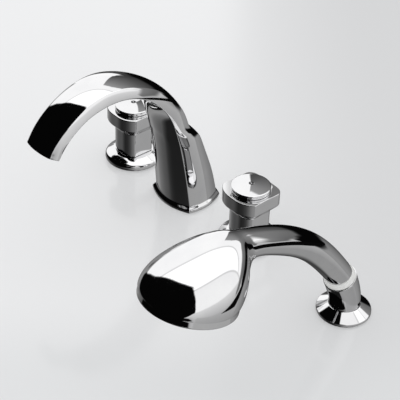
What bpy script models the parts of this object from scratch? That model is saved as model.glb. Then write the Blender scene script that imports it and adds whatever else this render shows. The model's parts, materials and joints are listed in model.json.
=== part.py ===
"""Deck-mounted tub filler: arched spout, hot and cold knob handles, and a hand shower in its cradle.

Every length is in metres and +Z is up. The four pieces stand in one row along X on the deck, at
z = 0, and the spout and the hand shower both reach forward, towards -Y. The origin is the axis of
the spout's post, at deck level.
"""

import math

import bmesh
import bpy
from mathutils import Matrix, Vector

for item in list(bpy.data.objects):
    bpy.data.objects.remove(item)

# Places of the pieces along the row, measured from the spout
HOT_HANDLE_X = -0.0903
COLD_HANDLE_X = 0.0998
CRADLE_X = 0.2369

# Clearances and overruns shared by all pieces
FACE_GAP = 0.0003
RUNNING_GAP = 0.0004
CUT_OVERRUN = 0.0020
MERGE_DISTANCE = 0.00001
GASKET_THICKNESS = 0.0010
GASKET_INSET = 0.0012

# Facets round a turned piece, by how large and how plain it is
LARGE_STEPS = 28
MEDIUM_STEPS = 16
SMALL_STEPS = 12
HEX_SIDES = 6

# Spout: the arch is a ribbon with a crowned top, and its column is a cushion in plan
SPOUT_REACH = 0.1836
SPOUT_RISE = 0.1770
SPOUT_HALF_WIDTH = 0.0240
SPOUT_FRONT_CROWN = 0.0085
SPOUT_BACK_CROWN = 0.0050
SPOUT_SIDE_BOW = 0.0050
SKIRT_HEIGHT = 0.0070
SKIRT_FLARE = 0.0027

# One row for each station from the foot to the tip. The first two pairs place the lower and the
# upper edge, forward as shares of the reach and up as shares of the rise. Then come the half
# widths at both edges as shares of the ribbon's half width, and the shares of the front crown,
# the back crown and the side bow.
SPOUT_STATION_SHARES = (
    (0.095, 0.045, -0.131, 0.045, 1.17, 0.92, 1.00, 1.00, 1.00),
    (0.111, 0.181, -0.098, 0.192, 1.13, 0.92, 0.94, 0.90, 0.92),
    (0.132, 0.328, -0.056, 0.316, 1.08, 0.93, 0.88, 0.80, 0.80),
    (0.158, 0.469, -0.014, 0.435, 1.04, 0.93, 0.76, 0.72, 0.64),
    (0.172, 0.525, 0.010, 0.497, 1.03, 0.93, 0.71, 0.66, 0.52),
    (0.182, 0.565, 0.044, 0.543, 1.02, 0.92, 0.66, 0.62, 0.44),
    (0.194, 0.605, 0.080, 0.573, 1.01, 0.90, 0.61, 0.62, 0.36),
    (0.212, 0.661, 0.101, 0.640, 1.00, 0.88, 0.53, 0.70, 0.24),
    (0.248, 0.732, 0.140, 0.727, 1.00, 0.87, 0.42, 0.84, 0.16),
    (0.305, 0.811, 0.208, 0.820, 1.00, 0.85, 0.35, 0.88, 0.12),
    (0.373, 0.872, 0.297, 0.898, 1.00, 0.83, 0.31, 0.88, 0.10),
    (0.463, 0.921, 0.412, 0.960, 1.00, 0.82, 0.29, 0.88, 0.10),
    (0.561, 0.945, 0.543, 1.000, 1.00, 0.82, 0.29, 0.88, 0.10),
    (0.664, 0.941, 0.670, 0.994, 1.00, 0.81, 0.29, 0.86, 0.10),
    (0.763, 0.914, 0.793, 0.946, 1.00, 0.79, 0.29, 0.82, 0.10),
    (0.850, 0.857, 0.887, 0.881, 1.00, 0.77, 0.29, 0.76, 0.10),
    (0.910, 0.797, 0.952, 0.814, 1.00, 0.75, 0.29, 0.70, 0.10),
    (0.953, 0.732, 0.995, 0.746, 1.00, 0.73, 0.29, 0.62, 0.10),
)
SPOUT_STEPS_PER_STATION = 2
SPOUT_CROWN_STEPS = 6
SPOUT_SIDE_STEPS = 3

# The skirt's outline, as shares of its height and of its flare, from the deck up
SKIRT_SHARES = ((0.00, 0.85), (0.25, 1.00), (0.50, 0.88), (0.72, 0.42), (0.90, 0.08))

# Where the waterway has left the post and follows the middle of the arch
DUCT_FIRST_STATION = 7

# Inside the spout: post, seals, set screw, waterway and flow former
POST_RADIUS = 0.0120
POST_BORE = 0.0070
POST_HEIGHT = 0.0550
POST_LEAD_IN = 0.0015
SEAL_SECTION = 0.0011
SEAL_WIDTH = 0.0022
SEAL_CHAMFER = 0.0004
SEAL_STAND = 0.0001
SEAL_HEIGHT_SHARES = (0.58, 0.80)
SET_SCREW_HEIGHT = 0.0160
SET_SCREW_RADIUS = 0.0025
SET_SCREW_LENGTH = 0.0120
SET_SCREW_SOCKET = 0.0013
SET_SCREW_SOCKET_DEPTH = 0.0040
SET_SCREW_GROOVE = 0.0010
SET_SCREW_HOLE_END = 0.0450
DUCT_HALF_WIDTH = 0.0115
DUCT_HALF_DEPTH = 0.0038
MOUTH_HALF_WIDTH = 0.0130
MOUTH_HALF_HEIGHT = 0.0030
MOUTH_DEPTH = 0.0080
FORMER_SLOTS = 7
FORMER_RIB = 0.0012
FORMER_WALL = 0.0010

# Handles: a cushion-shaped column and head, with a round grooved cap
ESCUTCHEON_RADIUS = 0.0310
ESCUTCHEON_HEIGHT = 0.0121
ESCUTCHEON_BORE = 0.0164
ESCUTCHEON_WALL = 0.0028
BEARING_WALL = 0.0012

# The escutcheon's outside from its flat top to the deck, as shares of its radius and height, then
# the inside from the deck up to the flat, and the gasket's inside, as shares of the inner radius
ESCUTCHEON_SHARES = (
    (0.71, 1.00),
    (0.81, 0.93),
    (0.90, 0.77),
    (0.965, 0.55),
    (1.00, 0.27),
    (0.99, 0.10),
    (0.96, 0.00),
)
ESCUTCHEON_INSIDE_SHARES = (0.96, 0.82)
ESCUTCHEON_GASKET_SHARE = 0.93

COLUMN_HALF_WIDTH = 0.0175
COLUMN_TOP = 0.0417
HEAD_HALF_WIDTH = 0.0250
HEAD_TAPER_TOP = 0.0500
HEAD_TOP = 0.0645
HEAD_EDGE = 0.0006
COLLAR_DEPTH = 0.0028
HANDLE_BORE = 0.0120
HUB_BORE = 0.0093
HUB_BOTTOM = 0.0350
WEB_BOTTOM = 0.0460
WEB_TOP = 0.0520
HANDLE_SIDE_STEPS = 3

# Corners of the handle's plan from the crisp one at front right, round by the back, as shares of
# its half width, each with the bow of the side that follows it
HANDLE_CORNER_SHARES = (
    (0.98, -0.62, -0.02),
    (0.96, 0.62, 0.07),
    (0.60, 0.91, 0.02),
    (-0.60, 0.91, 0.07),
    (-0.96, 0.62, -0.02),
    (-0.98, -0.62, 0.08),
    (-0.32, -1.02, 0.01),
    (0.32, -1.02, 0.08),
)

CAP_RADIUS = 0.0200
CAP_WALL_HEIGHT = 0.0042
CAP_RISE = 0.0025
CAP_THICKNESS = 0.0022
CAP_GROOVES = 1
CAP_GROOVE_DEPTH = 0.0004
CAP_EDGE = 0.0006
CAP_SPIGOT_RADIUS = 0.0169
CAP_SPIGOT_WALL = 0.0024
CAP_SPIGOT_DEPTH = 0.0058
CAP_SEAL_SECTION = 0.0010
CAP_SEAL_WIDTH = 0.0016
INDEX_RADIUS = 0.0024
INDEX_DOT_RADIUS = 0.0013
INDEX_DEPTH = 0.0010
INDEX_STAND = 0.0003
INDEX_DOME_SHARE = 0.7

# Valve parts inside each handle
BONNET_RADIUS = 0.0110
BONNET_SHOULDER = 0.0220
BONNET_TOP = 0.0310
THREAD_RADIUS = 0.0082
STEM_RADIUS = 0.0046
STEM_BOTTOM = 0.0100
STEM_TOP = 0.0440
STEM_SPLINES = 12
SPLINE_DEPTH = 0.0005
NUT_RADIUS = 0.0108
NUT_BOTTOM = 0.0240
NUT_TOP = 0.0330
NUT_LID = 0.0016
ADAPTER_RADIUS = 0.0090
SCREW_RADIUS = 0.0024
SCREW_HEAD_RADIUS = 0.0046
SCREW_HEAD_HEIGHT = 0.0030
SCREW_HEAD_EDGE = 0.0010
SCREW_LENGTH = 0.0180
SCREW_SOCKET = 0.0019
SCREW_SOCKET_DEPTH = 0.0015

# Cradle: a cone flange round a bent tube that holds the hand shower leaning forward
FLANGE_RADIUS = 0.0265
FLANGE_RIM = 0.0018
FLANGE_HEIGHT = 0.0123
FLANGE_WALL = 0.0024
CRADLE_FOOT_RADIUS = 0.0152
CRADLE_TOP_RADIUS = 0.0158
CRADLE_BORE = 0.0122
DOCK_TILT = math.radians(25)
DOCK_FORWARD = 0.0110
DOCK_HEIGHT = 0.0468
SOCKET_RADIUS = 0.0138
SOCKET_DEPTH = 0.0190
LINER_COLLAR = 0.0070
LINER_COLLAR_BASE_RADIUS = 0.0152
LINER_COLLAR_TOP_RADIUS = 0.0137
LINER_BORE = 0.0114
CRADLE_BEND_STEPS = 6

# Hand shower: an arched handle that swells into a bell head over a tilted round rim
GRIP_END_RADIUS = 0.0132
GRIP_RADIUS = 0.0133
SHOWER_REACH = 0.1954
SHOWER_RIM_HEIGHT = 0.1244
SHOWER_CROWN_SHARE = 1.3505
SHOWER_CROWN_HEIGHT = SHOWER_CROWN_SHARE * SHOWER_RIM_HEIGHT
RIM_RADIUS = 0.0436
RIM_TILT = math.radians(13.3)
RIM_HEIGHT = 0.0070

# Middle line of the grip after its dock, forward as shares of the reach to the rim's centre and
# up as shares of the crown height
GRIP_LINE_SHARES = ((0.169, 0.468), (0.287, 0.619), (0.409, 0.727), (0.542, 0.811))

# Neck stations: the top and the bottom point as such shares, then the half width as a share of
# the grip's radius, the height of the widest line, and how far the underside is flattened
NECK_SHARES = (
    (0.671, 0.949, 0.673, 0.786, 0.95, 0.50, 0.00),
    (0.709, 0.963, 0.727, 0.735, 1.14, 0.48, 0.45),
)

# Head stations from the heel to the tip: the place along the rim's plane as a share of its
# radius, the top point as shares of reach and crown height, the half width and the half chord
# on the rim's plane as shares of the rim's radius, and the height of the widest line
HEAD_SHARES = (
    (0.991, 0.737, 0.971, 0.420, 0.134, 0.42),
    (0.872, 0.760, 0.977, 0.580, 0.490, 0.30),
    (0.642, 0.799, 0.984, 0.775, 0.766, 0.15),
    (0.275, 0.885, 0.975, 0.968, 0.961, 0.06),
    (-0.183, 0.995, 0.942, 0.983, 0.983, 0.02),
    (-0.550, 1.085, 0.902, 0.835, 0.835, 0.02),
    (-0.803, 1.150, 0.863, 0.596, 0.596, 0.02),
    (-0.940, 1.193, 0.832, 0.341, 0.341, 0.02),
    (-0.995, 1.214, 0.808, 0.100, 0.100, 0.02),
)
SHOWER_STEPS_PER_STATION = 2
SHOWER_HALF_STEPS = 10

# How much of the underside's half ring each of its two sides takes, beside the flat chord
UNDERSIDE_SIDE_SHARE = 0.25
GRIP_WIDEST_SHARE = 0.5

# Inside the hand shower
SHOWER_DUCT_RADIUS = 0.0066
SPIGOT_SEAT_RADIUS = 0.0078
CHAMBER_RADIUS = 0.0396
CHAMBER_SHOULDER_RADIUS = 0.0340
CHAMBER_DEPTH = 0.0080
CHAMBER_THROAT_RADIUS = 0.0110
CHAMBER_THROAT_DEPTH = 0.0240
RIM_SPIGOT_WALL = 0.0028
RIM_SPIGOT_HEIGHT = 0.0035
RIM_LIP = 0.0016

# The rim's outside from the seam down to the lip, as shares of its radius and of its height
RIM_SHARES = ((1.006, 0.25), (0.998, 0.65), (0.975, 0.92), (0.950, 1.00))

PLATE_THICKNESS = 0.0020
MAT_THICKNESS = 0.0016
DIFFUSER_THICKNESS = 0.0024
DIFFUSER_HOLES = 6
DIFFUSER_HOLE_RADIUS = 0.0040
NOZZLE_RINGS = 3
NOZZLES_IN_FIRST_RING = 5
NOZZLE_RADIUS = 0.0012
NOZZLE_STAND = 0.0008
NOZZLE_SIDES = 5
DIFFUSER_HOLE_SIDES = 8
DOCK_CONE_RADIUS = 0.0110
DOCK_CONE_TAPER = 0.0006
DOCK_CONE_DEPTH = 0.0140
DOCK_CONE_BORE = 0.0052
DOCK_SPIGOT = 0.0100
NIPPLE_RADIUS = 0.0092
NIPPLE_LENGTH = 0.0090
NIPPLE_BORE = 0.0044
NIPPLE_SPIGOT = 0.0060
WASHER_RADIUS = 0.0084
WASHER_THICKNESS = 0.0016

SHARP_ANGLE = math.radians(32)

COLOURS = {
    "chrome": ((0.78, 0.79, 0.80, 1.0), 0.06, 1.0),
    "brass": ((0.72, 0.55, 0.28, 1.0), 0.35, 1.0),
    "steel": ((0.60, 0.60, 0.61, 1.0), 0.30, 1.0),
    "rubber": ((0.03, 0.03, 0.03, 1.0), 0.80, 0.0),
    "nylon": ((0.86, 0.87, 0.86, 1.0), 0.40, 0.0),
    "grey_plastic": ((0.35, 0.36, 0.37, 1.0), 0.45, 0.0),
}

parts = bpy.data.collections.new("tub_faucet")
cutters = bpy.data.collections.new("tub_faucet_cutters")
bpy.context.scene.collection.children.link(parts)
bpy.context.scene.collection.children.link(cutters)


# Frames that carry the pieces


def add_frame(name, location, parent=None, tilt=0.0):
    """An empty that places the pieces under it. A tilt leans its Z axis forward."""
    frame = bpy.data.objects.new(name, None)
    parts.objects.link(frame)
    frame.location = location
    frame.rotation_euler = (tilt, 0, 0)
    frame.parent = parent
    return frame


spout_frame = add_frame("spout_frame", (0, 0, 0))
cradle_frame = add_frame("cradle_frame", (CRADLE_X, 0, 0))
dock_frame = add_frame("dock_frame", (0, -DOCK_FORWARD, DOCK_HEIGHT), cradle_frame, DOCK_TILT)
rim_frame = add_frame("rim_frame", (0, -SHOWER_REACH, SHOWER_RIM_HEIGHT), cradle_frame, -RIM_TILT)
bpy.context.view_layer.update()


# Shapes


def paint(thing, finish):
    """Give a piece its own material in one of the named finishes."""
    colour, roughness, metallic = COLOURS[finish]
    material = bpy.data.materials.new(thing.name + "_" + finish)
    material.use_nodes = True
    shader = material.node_tree.nodes["Principled BSDF"]
    shader.inputs["Base Color"].default_value = colour
    shader.inputs["Roughness"].default_value = roughness
    shader.inputs["Metallic"].default_value = metallic
    material.diffuse_color = colour
    thing.data.materials.append(material)


def add_piece(name, mesh, finish, frame):
    """A named solid under its frame, or a cutter where no finish is given."""
    thing = bpy.data.objects.new(name, mesh)
    thing.parent = frame
    if finish is None:
        cutters.objects.link(thing)
        thing.hide_render = True
        thing.display_type = "WIRE"
        return thing
    parts.objects.link(thing)
    paint(thing, finish)
    mesh.shade_smooth()
    mesh.set_sharp_from_angle(angle=SHARP_ANGLE)
    return thing


def turned(name, outline, steps, finish, frame, closed=True):
    """Turn an outline of (radius, height) points round Z. It runs down its outer side."""
    mesh = bpy.data.meshes.new(name)
    points = [(radius, 0, height) for radius, height in outline]
    edges = [(place, place + 1) for place in range(len(points) - 1)]
    if closed:
        edges.append((len(points) - 1, 0))
    mesh.from_pydata(points, edges, [])
    thing = add_piece(name, mesh, finish, frame)
    screw = thing.modifiers.new("turn", "SCREW")
    screw.steps = steps
    screw.render_steps = steps
    screw.use_merge_vertices = True
    screw.merge_threshold = MERGE_DISTANCE
    screw.use_smooth_shade = True
    return thing


def skin(name, rings, finish, frame):
    """A solid skinned over rings of points that all run the same way round, with flat ends."""
    shape = bmesh.new()
    rows = [[shape.verts.new(point) for point in ring] for ring in rings]
    count = len(rings[0])
    for lower, upper in zip(rows, rows[1:]):
        for place in range(count):
            after = (place + 1) % count
            shape.faces.new((lower[place], lower[after], upper[after], upper[place]))
    shape.faces.new(list(reversed(rows[0])))
    shape.faces.new(rows[-1])
    bmesh.ops.recalc_face_normals(shape, faces=shape.faces)
    return piece_from(shape, name, finish, frame)


def add_rod_to(shape, spot, radius, bottom, top, sides):
    """Add an upright rod between two heights to a mesh that is being made."""
    bmesh.ops.create_cone(
        shape,
        cap_ends=True,
        segments=sides,
        radius1=radius,
        radius2=radius,
        depth=top - bottom,
        matrix=Matrix.Translation(spot + Vector((0, 0, (bottom + top) / 2))),
    )


def piece_from(shape, name, finish, frame):
    """Turn a mesh that was being made into a piece."""
    mesh = bpy.data.meshes.new(name)
    shape.to_mesh(mesh)
    shape.free()
    return add_piece(name, mesh, finish, frame)


def rod(name, radius, bottom, top, sides, finish, frame):
    """A straight round or many-sided rod between two heights."""
    shape = bmesh.new()
    add_rod_to(shape, Vector((0, 0, 0)), radius, bottom, top, sides)
    return piece_from(shape, name, finish, frame)


def cut(thing, cutter, operation="DIFFERENCE"):
    """Cut one solid with another, or join the other to it."""
    boolean = thing.modifiers.new(cutter.name, "BOOLEAN")
    boolean.operation = operation
    boolean.solver = "EXACT"
    boolean.object = cutter


def smooth_rows(rows, steps):
    """Rows of numbers with even steps between them, on a curve through every row."""
    first = [2 * a - b for a, b in zip(rows[0], rows[1])]
    last = [2 * a - b for a, b in zip(rows[-1], rows[-2])]
    padded = [first, *rows, last]
    result = []
    for place in range(len(rows) - 1):
        before, start, end, after = padded[place : place + 4]
        for step in range(steps):
            u = step / steps
            row = []
            for p, q, r, s in zip(before, start, end, after):
                slope_in = (r - p) / 2
                slope_out = (s - q) / 2
                rise = r - q
                bend = 3 * rise - 2 * slope_in - slope_out
                twist = slope_in + slope_out - 2 * rise
                row.append(q + u * (slope_in + u * (bend + u * twist)))
            result.append(row)
    result.append(list(rows[-1]))
    return result


def round_ring(centre, along, radius, sides):
    """A circle of points round a centre, square to a direction that leans only forward or back."""
    across = Vector((0, along.z, -along.y)).normalized()
    ring = []
    for place in range(sides):
        angle = math.tau * place / sides
        side = Vector((radius * math.cos(angle), 0, 0))
        ring.append(centre + side + across * (radius * math.sin(angle)))
    return ring


def spline_ring(radius, root, height):
    """A level ring of points round Z that lie by turns on the tips and on the roots of the splines."""
    ring = []
    for place in range(2 * STEM_SPLINES):
        angle = math.pi * place / STEM_SPLINES
        reach = root if place % 2 else radius
        ring.append((reach * math.cos(angle), reach * math.sin(angle), height))
    return ring


def groove(radius, floor, middle, half):
    """The outline of a groove round a turned piece, from its upper edge to its lower edge."""
    upper = middle + half
    lower = middle - half
    return [(radius, upper), (floor, upper), (floor, lower), (radius, lower)]


def pipe(name, line, radii, sides, finish, frame):
    """A round bar along a line of (forward, up) points, with a radius at each."""
    places = [Vector((0, -forward, up)) for forward, up in line]
    rings = []
    for place, centre in enumerate(places):
        ahead = places[min(place + 1, len(places) - 1)]
        behind = places[max(place - 1, 0)]
        rings.append(round_ring(centre, ahead - behind, radii[place], sides))
    return skin(name, rings, finish, frame)


# Spout


def spout_stations():
    """Lower edge, upper edge, half widths, crowns and side bow at every station, in metres."""
    rows = []
    for shares in SPOUT_STATION_SHARES:
        low_y, low_z, high_y, high_z, low_width, high_width, front, back, bow = shares
        rows.append(
            (
                -low_y * SPOUT_REACH,
                low_z * SPOUT_RISE,
                -high_y * SPOUT_REACH,
                high_z * SPOUT_RISE,
                low_width * SPOUT_HALF_WIDTH,
                high_width * SPOUT_HALF_WIDTH,
                front * SPOUT_FRONT_CROWN,
                back * SPOUT_BACK_CROWN,
                bow * SPOUT_SIDE_BOW,
            )
        )
    return smooth_rows(rows, SPOUT_STEPS_PER_STATION)


def foot_station(height, flare):
    """The foot's station moved to a height, and spread outwards all round."""
    low_y, low_z, high_y, high_z, low_width, high_width, front, back, bow = spout_stations()[0]
    return (
        low_y - flare,
        height,
        high_y + flare,
        height,
        low_width + flare,
        high_width + flare,
        front,
        back,
        bow,
    )


def cushion_ring(station):
    """Points round one section: front crown, right side, back crown and left side."""
    low_y, low_z, high_y, high_z, low_width, high_width, front, back, bow = station
    low = Vector((0, low_y, low_z))
    high = Vector((0, high_y, high_z))
    through = (high - low).normalized()
    ring = []
    for step in range(SPOUT_CROWN_STEPS):
        share = 2 * step / SPOUT_CROWN_STEPS - 1
        ring.append(low + Vector((share * low_width, 0, 0)) - through * (front * (1 - share * share)))
    for step in range(SPOUT_SIDE_STEPS):
        share = step / SPOUT_SIDE_STEPS
        width = low_width + (high_width - low_width) * share + bow * 4 * share * (1 - share)
        ring.append(low.lerp(high, share) + Vector((width, 0, 0)))
    for step in range(SPOUT_CROWN_STEPS):
        share = 1 - 2 * step / SPOUT_CROWN_STEPS
        ring.append(high + Vector((share * high_width, 0, 0)) + through * (back * (1 - share * share)))
    for step in range(SPOUT_SIDE_STEPS):
        share = 1 - step / SPOUT_SIDE_STEPS
        width = low_width + (high_width - low_width) * share + bow * 4 * share * (1 - share)
        ring.append(low.lerp(high, share) - Vector((width, 0, 0)))
    return ring


def middle_of(station):
    """The middle of a section's solid, halfway between its two crowns."""
    low_y, low_z, high_y, high_z, low_width, high_width, front, back, bow = station
    low = Vector((0, low_y, low_z))
    high = Vector((0, high_y, high_z))
    through = (high - low).normalized()
    return low.lerp(high, 0.5) + through * ((back - front) / 2), through


def duct_ring(station):
    """A flat oval of points in the middle of a section, for the waterway."""
    centre, through = middle_of(station)
    ring = []
    for place in range(SMALL_STEPS):
        angle = math.tau * place / SMALL_STEPS
        side = Vector((DUCT_HALF_WIDTH * math.cos(angle), 0, 0))
        ring.append(centre + side + through * (DUCT_HALF_DEPTH * math.sin(angle)))
    return ring


def oval_ring(centre, along, across, half_width, half_height):
    """A slot-shaped ring: straight long sides with half-round ends."""
    ring = []
    straight = half_width - half_height
    for place in range(SMALL_STEPS):
        angle = math.tau * (place + 0.5) / SMALL_STEPS
        side = math.copysign(straight, math.cos(angle)) + half_height * math.cos(angle)
        ring.append(centre + along + Vector((side, 0, 0)) + across * (half_height * math.sin(angle)))
    return ring


def build_spout():
    """The cast spout, its post, seals, set screw, gasket and flow former."""
    stations = spout_stations()
    bottom = GASKET_THICKNESS + FACE_GAP
    skirt = [foot_station(bottom + up * SKIRT_HEIGHT, out * SKIRT_FLARE) for up, out in SKIRT_SHARES]
    body = skin("spout_body", [cushion_ring(row) for row in skirt + stations], "chrome", spout_frame)

    pocket_radius = POST_RADIUS + FACE_GAP
    pocket_top = POST_HEIGHT + 2 * FACE_GAP
    cut(body, rod("pocket_cut", pocket_radius, -CUT_OVERRUN, pocket_top, MEDIUM_STEPS, None, spout_frame))

    entry = Vector((0, 0, pocket_top - POST_LEAD_IN))
    duct_rings = [round_ring(entry, Vector((0, 0, 1)), POST_BORE, SMALL_STEPS)]
    duct_rings += [duct_ring(row) for row in stations[DUCT_FIRST_STATION:-1]]
    cut(body, skin("spout_duct_cut", duct_rings, None, spout_frame))

    tip, tip_through = middle_of(stations[-1])
    before_tip, before_through = middle_of(stations[-2])
    outward = Vector((0, -tip_through.z, tip_through.y))
    if outward.dot(tip - before_tip) < 0:
        outward = -outward
    mouth_rings = [
        oval_ring(tip, outward * reach, tip_through, MOUTH_HALF_WIDTH, MOUTH_HALF_HEIGHT)
        for reach in (-MOUTH_DEPTH, CUT_OVERRUN)
    ]
    cut(body, skin("spout_mouth_cut", mouth_rings, None, spout_frame))

    former_half_width = MOUTH_HALF_WIDTH - FACE_GAP
    former_half_height = MOUTH_HALF_HEIGHT - FACE_GAP
    former_rings = [
        oval_ring(tip, outward * reach, tip_through, former_half_width, former_half_height)
        for reach in (-MOUTH_DEPTH + FACE_GAP, -FACE_GAP)
    ]
    former = skin("spout_flow_former", former_rings, "grey_plastic", spout_frame)
    slot_span = 2 * (former_half_width - former_half_height)
    slot_pitch = slot_span / FORMER_SLOTS
    slot_half_width = (slot_pitch - FORMER_RIB) / 2
    slot_half_height = former_half_height - FORMER_WALL
    for place in range(FORMER_SLOTS):
        side = (place - (FORMER_SLOTS - 1) / 2) * slot_pitch
        rings = []
        for reach in (-MOUTH_DEPTH - CUT_OVERRUN, CUT_OVERRUN):
            centre = tip + outward * reach + Vector((side, 0, 0))
            corners = ((-1, -1), (1, -1), (1, 1), (-1, 1))
            rings.append(
                [
                    centre + Vector((x * slot_half_width, 0, 0)) + tip_through * (y * slot_half_height)
                    for x, y in corners
                ]
            )
        cut(former, skin("former_slot_cut_" + str(place + 1), rings, None, spout_frame))

    groove_floor = POST_RADIUS - SEAL_SECTION
    set_groove_floor = POST_RADIUS - SET_SCREW_GROOVE
    outline = [(POST_BORE, POST_HEIGHT), (POST_RADIUS - POST_LEAD_IN, POST_HEIGHT)]
    outline.append((POST_RADIUS, POST_HEIGHT - POST_LEAD_IN))
    for share in reversed(SEAL_HEIGHT_SHARES):
        outline += groove(POST_RADIUS, groove_floor, share * POST_HEIGHT, SEAL_WIDTH / 2 + FACE_GAP)
    outline += groove(POST_RADIUS, set_groove_floor, SET_SCREW_HEIGHT, SET_SCREW_RADIUS + FACE_GAP)
    outline += [(POST_RADIUS, 0), (POST_BORE, 0)]
    turned("spout_post", outline, MEDIUM_STEPS, "brass", spout_frame)

    for label, share in zip(("lower", "upper"), SEAL_HEIGHT_SHARES):
        middle = share * POST_HEIGHT
        outer = POST_RADIUS + SEAL_STAND
        inner = groove_floor + FACE_GAP
        half = SEAL_WIDTH / 2
        ring = [(inner, middle + half), (outer - SEAL_CHAMFER, middle + half), (outer, middle)]
        ring += [(outer - SEAL_CHAMFER, middle - half), (inner, middle - half)]
        turned("spout_seal_" + label, ring, MEDIUM_STEPS, "rubber", spout_frame)

    screw_frame = add_frame("set_screw_frame", (0, 0, SET_SCREW_HEIGHT), spout_frame, -math.pi / 2)
    screw_start = set_groove_floor + FACE_GAP
    screw_end = screw_start + SET_SCREW_LENGTH
    hole_radius = SET_SCREW_RADIUS + FACE_GAP
    hole_end = SET_SCREW_HOLE_END
    cut(body, rod("screw_hole_cut", hole_radius, POST_BORE, hole_end, SMALL_STEPS, None, screw_frame))
    name = "spout_set_screw"
    screw = rod(name, SET_SCREW_RADIUS, screw_start, screw_end, SMALL_STEPS, "steel", screw_frame)
    key_start = screw_end - SET_SCREW_SOCKET_DEPTH
    key_end = screw_end + CUT_OVERRUN
    cut(screw, rod("set_key_cut", SET_SCREW_SOCKET, key_start, key_end, HEX_SIDES, None, screw_frame))

    pad_flare = SKIRT_FLARE * SKIRT_SHARES[0][1] - GASKET_INSET
    pad_rings = [cushion_ring(foot_station(height, pad_flare)) for height in (0, GASKET_THICKNESS)]
    pad = skin("spout_gasket", pad_rings, "rubber", spout_frame)
    pad_top = GASKET_THICKNESS + CUT_OVERRUN
    cut(pad, rod("gasket_hole_cut", pocket_radius, -CUT_OVERRUN, pad_top, MEDIUM_STEPS, None, spout_frame))


# Handles


def cushion_plan(half_width, height):
    """Bowed sides between the corners of the plan, at one height."""
    corners = [Vector((x * half_width, y * half_width, height)) for x, y, bow in HANDLE_CORNER_SHARES]
    ring = []
    for side, corner in enumerate(corners):
        following = corners[(side + 1) % len(corners)]
        run = following - corner
        outward = Vector((run.y, -run.x, 0)).normalized()
        bow = HANDLE_CORNER_SHARES[side][2] * half_width
        for step in range(HANDLE_SIDE_STEPS):
            share = step / HANDLE_SIDE_STEPS
            ring.append(corner + run * share + outward * (bow * 4 * share * (1 - share)))
    return ring


def build_handle(label, place_x):
    """One knob handle with its escutcheon, valve parts, cap and index mark."""
    frame = add_frame(label + "_handle_axis", (place_x, 0, 0))
    foot = GASKET_THICKNESS + FACE_GAP
    land = ESCUTCHEON_HEIGHT
    wide = ESCUTCHEON_RADIUS
    body_height = land - foot

    outline = [(ESCUTCHEON_BORE, land)]
    for share_out, share_up in ESCUTCHEON_SHARES:
        outline.append((share_out * wide, foot + share_up * body_height))
    inner = wide - ESCUTCHEON_WALL
    under = land - ESCUTCHEON_WALL
    foot_share, ceiling_share = ESCUTCHEON_INSIDE_SHARES
    outline += [(foot_share * inner, foot), (ceiling_share * inner, under), (ESCUTCHEON_BORE, under)]
    turned(label + "_escutcheon", outline, LARGE_STEPS, "chrome", frame)

    pad_outer = ESCUTCHEON_SHARES[-1][0] * wide - GASKET_INSET
    pad_inner = ESCUTCHEON_GASKET_SHARE * inner
    pad = [(pad_inner, GASKET_THICKNESS), (pad_outer, GASKET_THICKNESS), (pad_outer, 0), (pad_inner, 0)]
    turned(label + "_escutcheon_gasket", pad, LARGE_STEPS, "rubber", frame)

    collar_outer = ESCUTCHEON_BORE - 2 * FACE_GAP - BEARING_WALL
    bearing_outer = ESCUTCHEON_BORE - FACE_GAP
    bearing = [(collar_outer + FACE_GAP, land), (bearing_outer, land), (bearing_outer, under)]
    bearing.append((collar_outer + FACE_GAP, under))
    turned(label + "_bearing_ring", bearing, MEDIUM_STEPS, "nylon", frame)

    bottom = land + RUNNING_GAP
    plans = [
        cushion_plan(COLUMN_HALF_WIDTH, bottom),
        cushion_plan(COLUMN_HALF_WIDTH, COLUMN_TOP),
        cushion_plan(HEAD_HALF_WIDTH, HEAD_TAPER_TOP),
        cushion_plan(HEAD_HALF_WIDTH, HEAD_TOP - HEAD_EDGE),
        cushion_plan(HEAD_HALF_WIDTH - HEAD_EDGE, HEAD_TOP),
    ]
    body = skin(label + "_handle_body", plans, "chrome", frame)
    collar_bottom = bottom - COLLAR_DEPTH
    collar_top = bottom + COLLAR_DEPTH
    collar = rod(label + "_collar_join", collar_outer, collar_bottom, collar_top, MEDIUM_STEPS, None, frame)
    cut(body, collar, "UNION")
    recess_radius = CAP_SPIGOT_RADIUS + FACE_GAP
    hollow = [
        (0, HEAD_TOP + CUT_OVERRUN),
        (recess_radius, HEAD_TOP + CUT_OVERRUN),
        (recess_radius, WEB_TOP),
        (SCREW_RADIUS + FACE_GAP, WEB_TOP),
        (SCREW_RADIUS + FACE_GAP, WEB_BOTTOM),
        (HUB_BORE, WEB_BOTTOM),
        (HUB_BORE, HUB_BOTTOM),
        (HANDLE_BORE, HUB_BOTTOM),
        (HANDLE_BORE, collar_bottom - CUT_OVERRUN),
        (0, collar_bottom - CUT_OVERRUN),
    ]
    cut(body, turned(label + "_hollow_cut", hollow, LARGE_STEPS, None, frame, closed=False))

    build_valve(label, frame)
    build_cap(label, frame)


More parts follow.
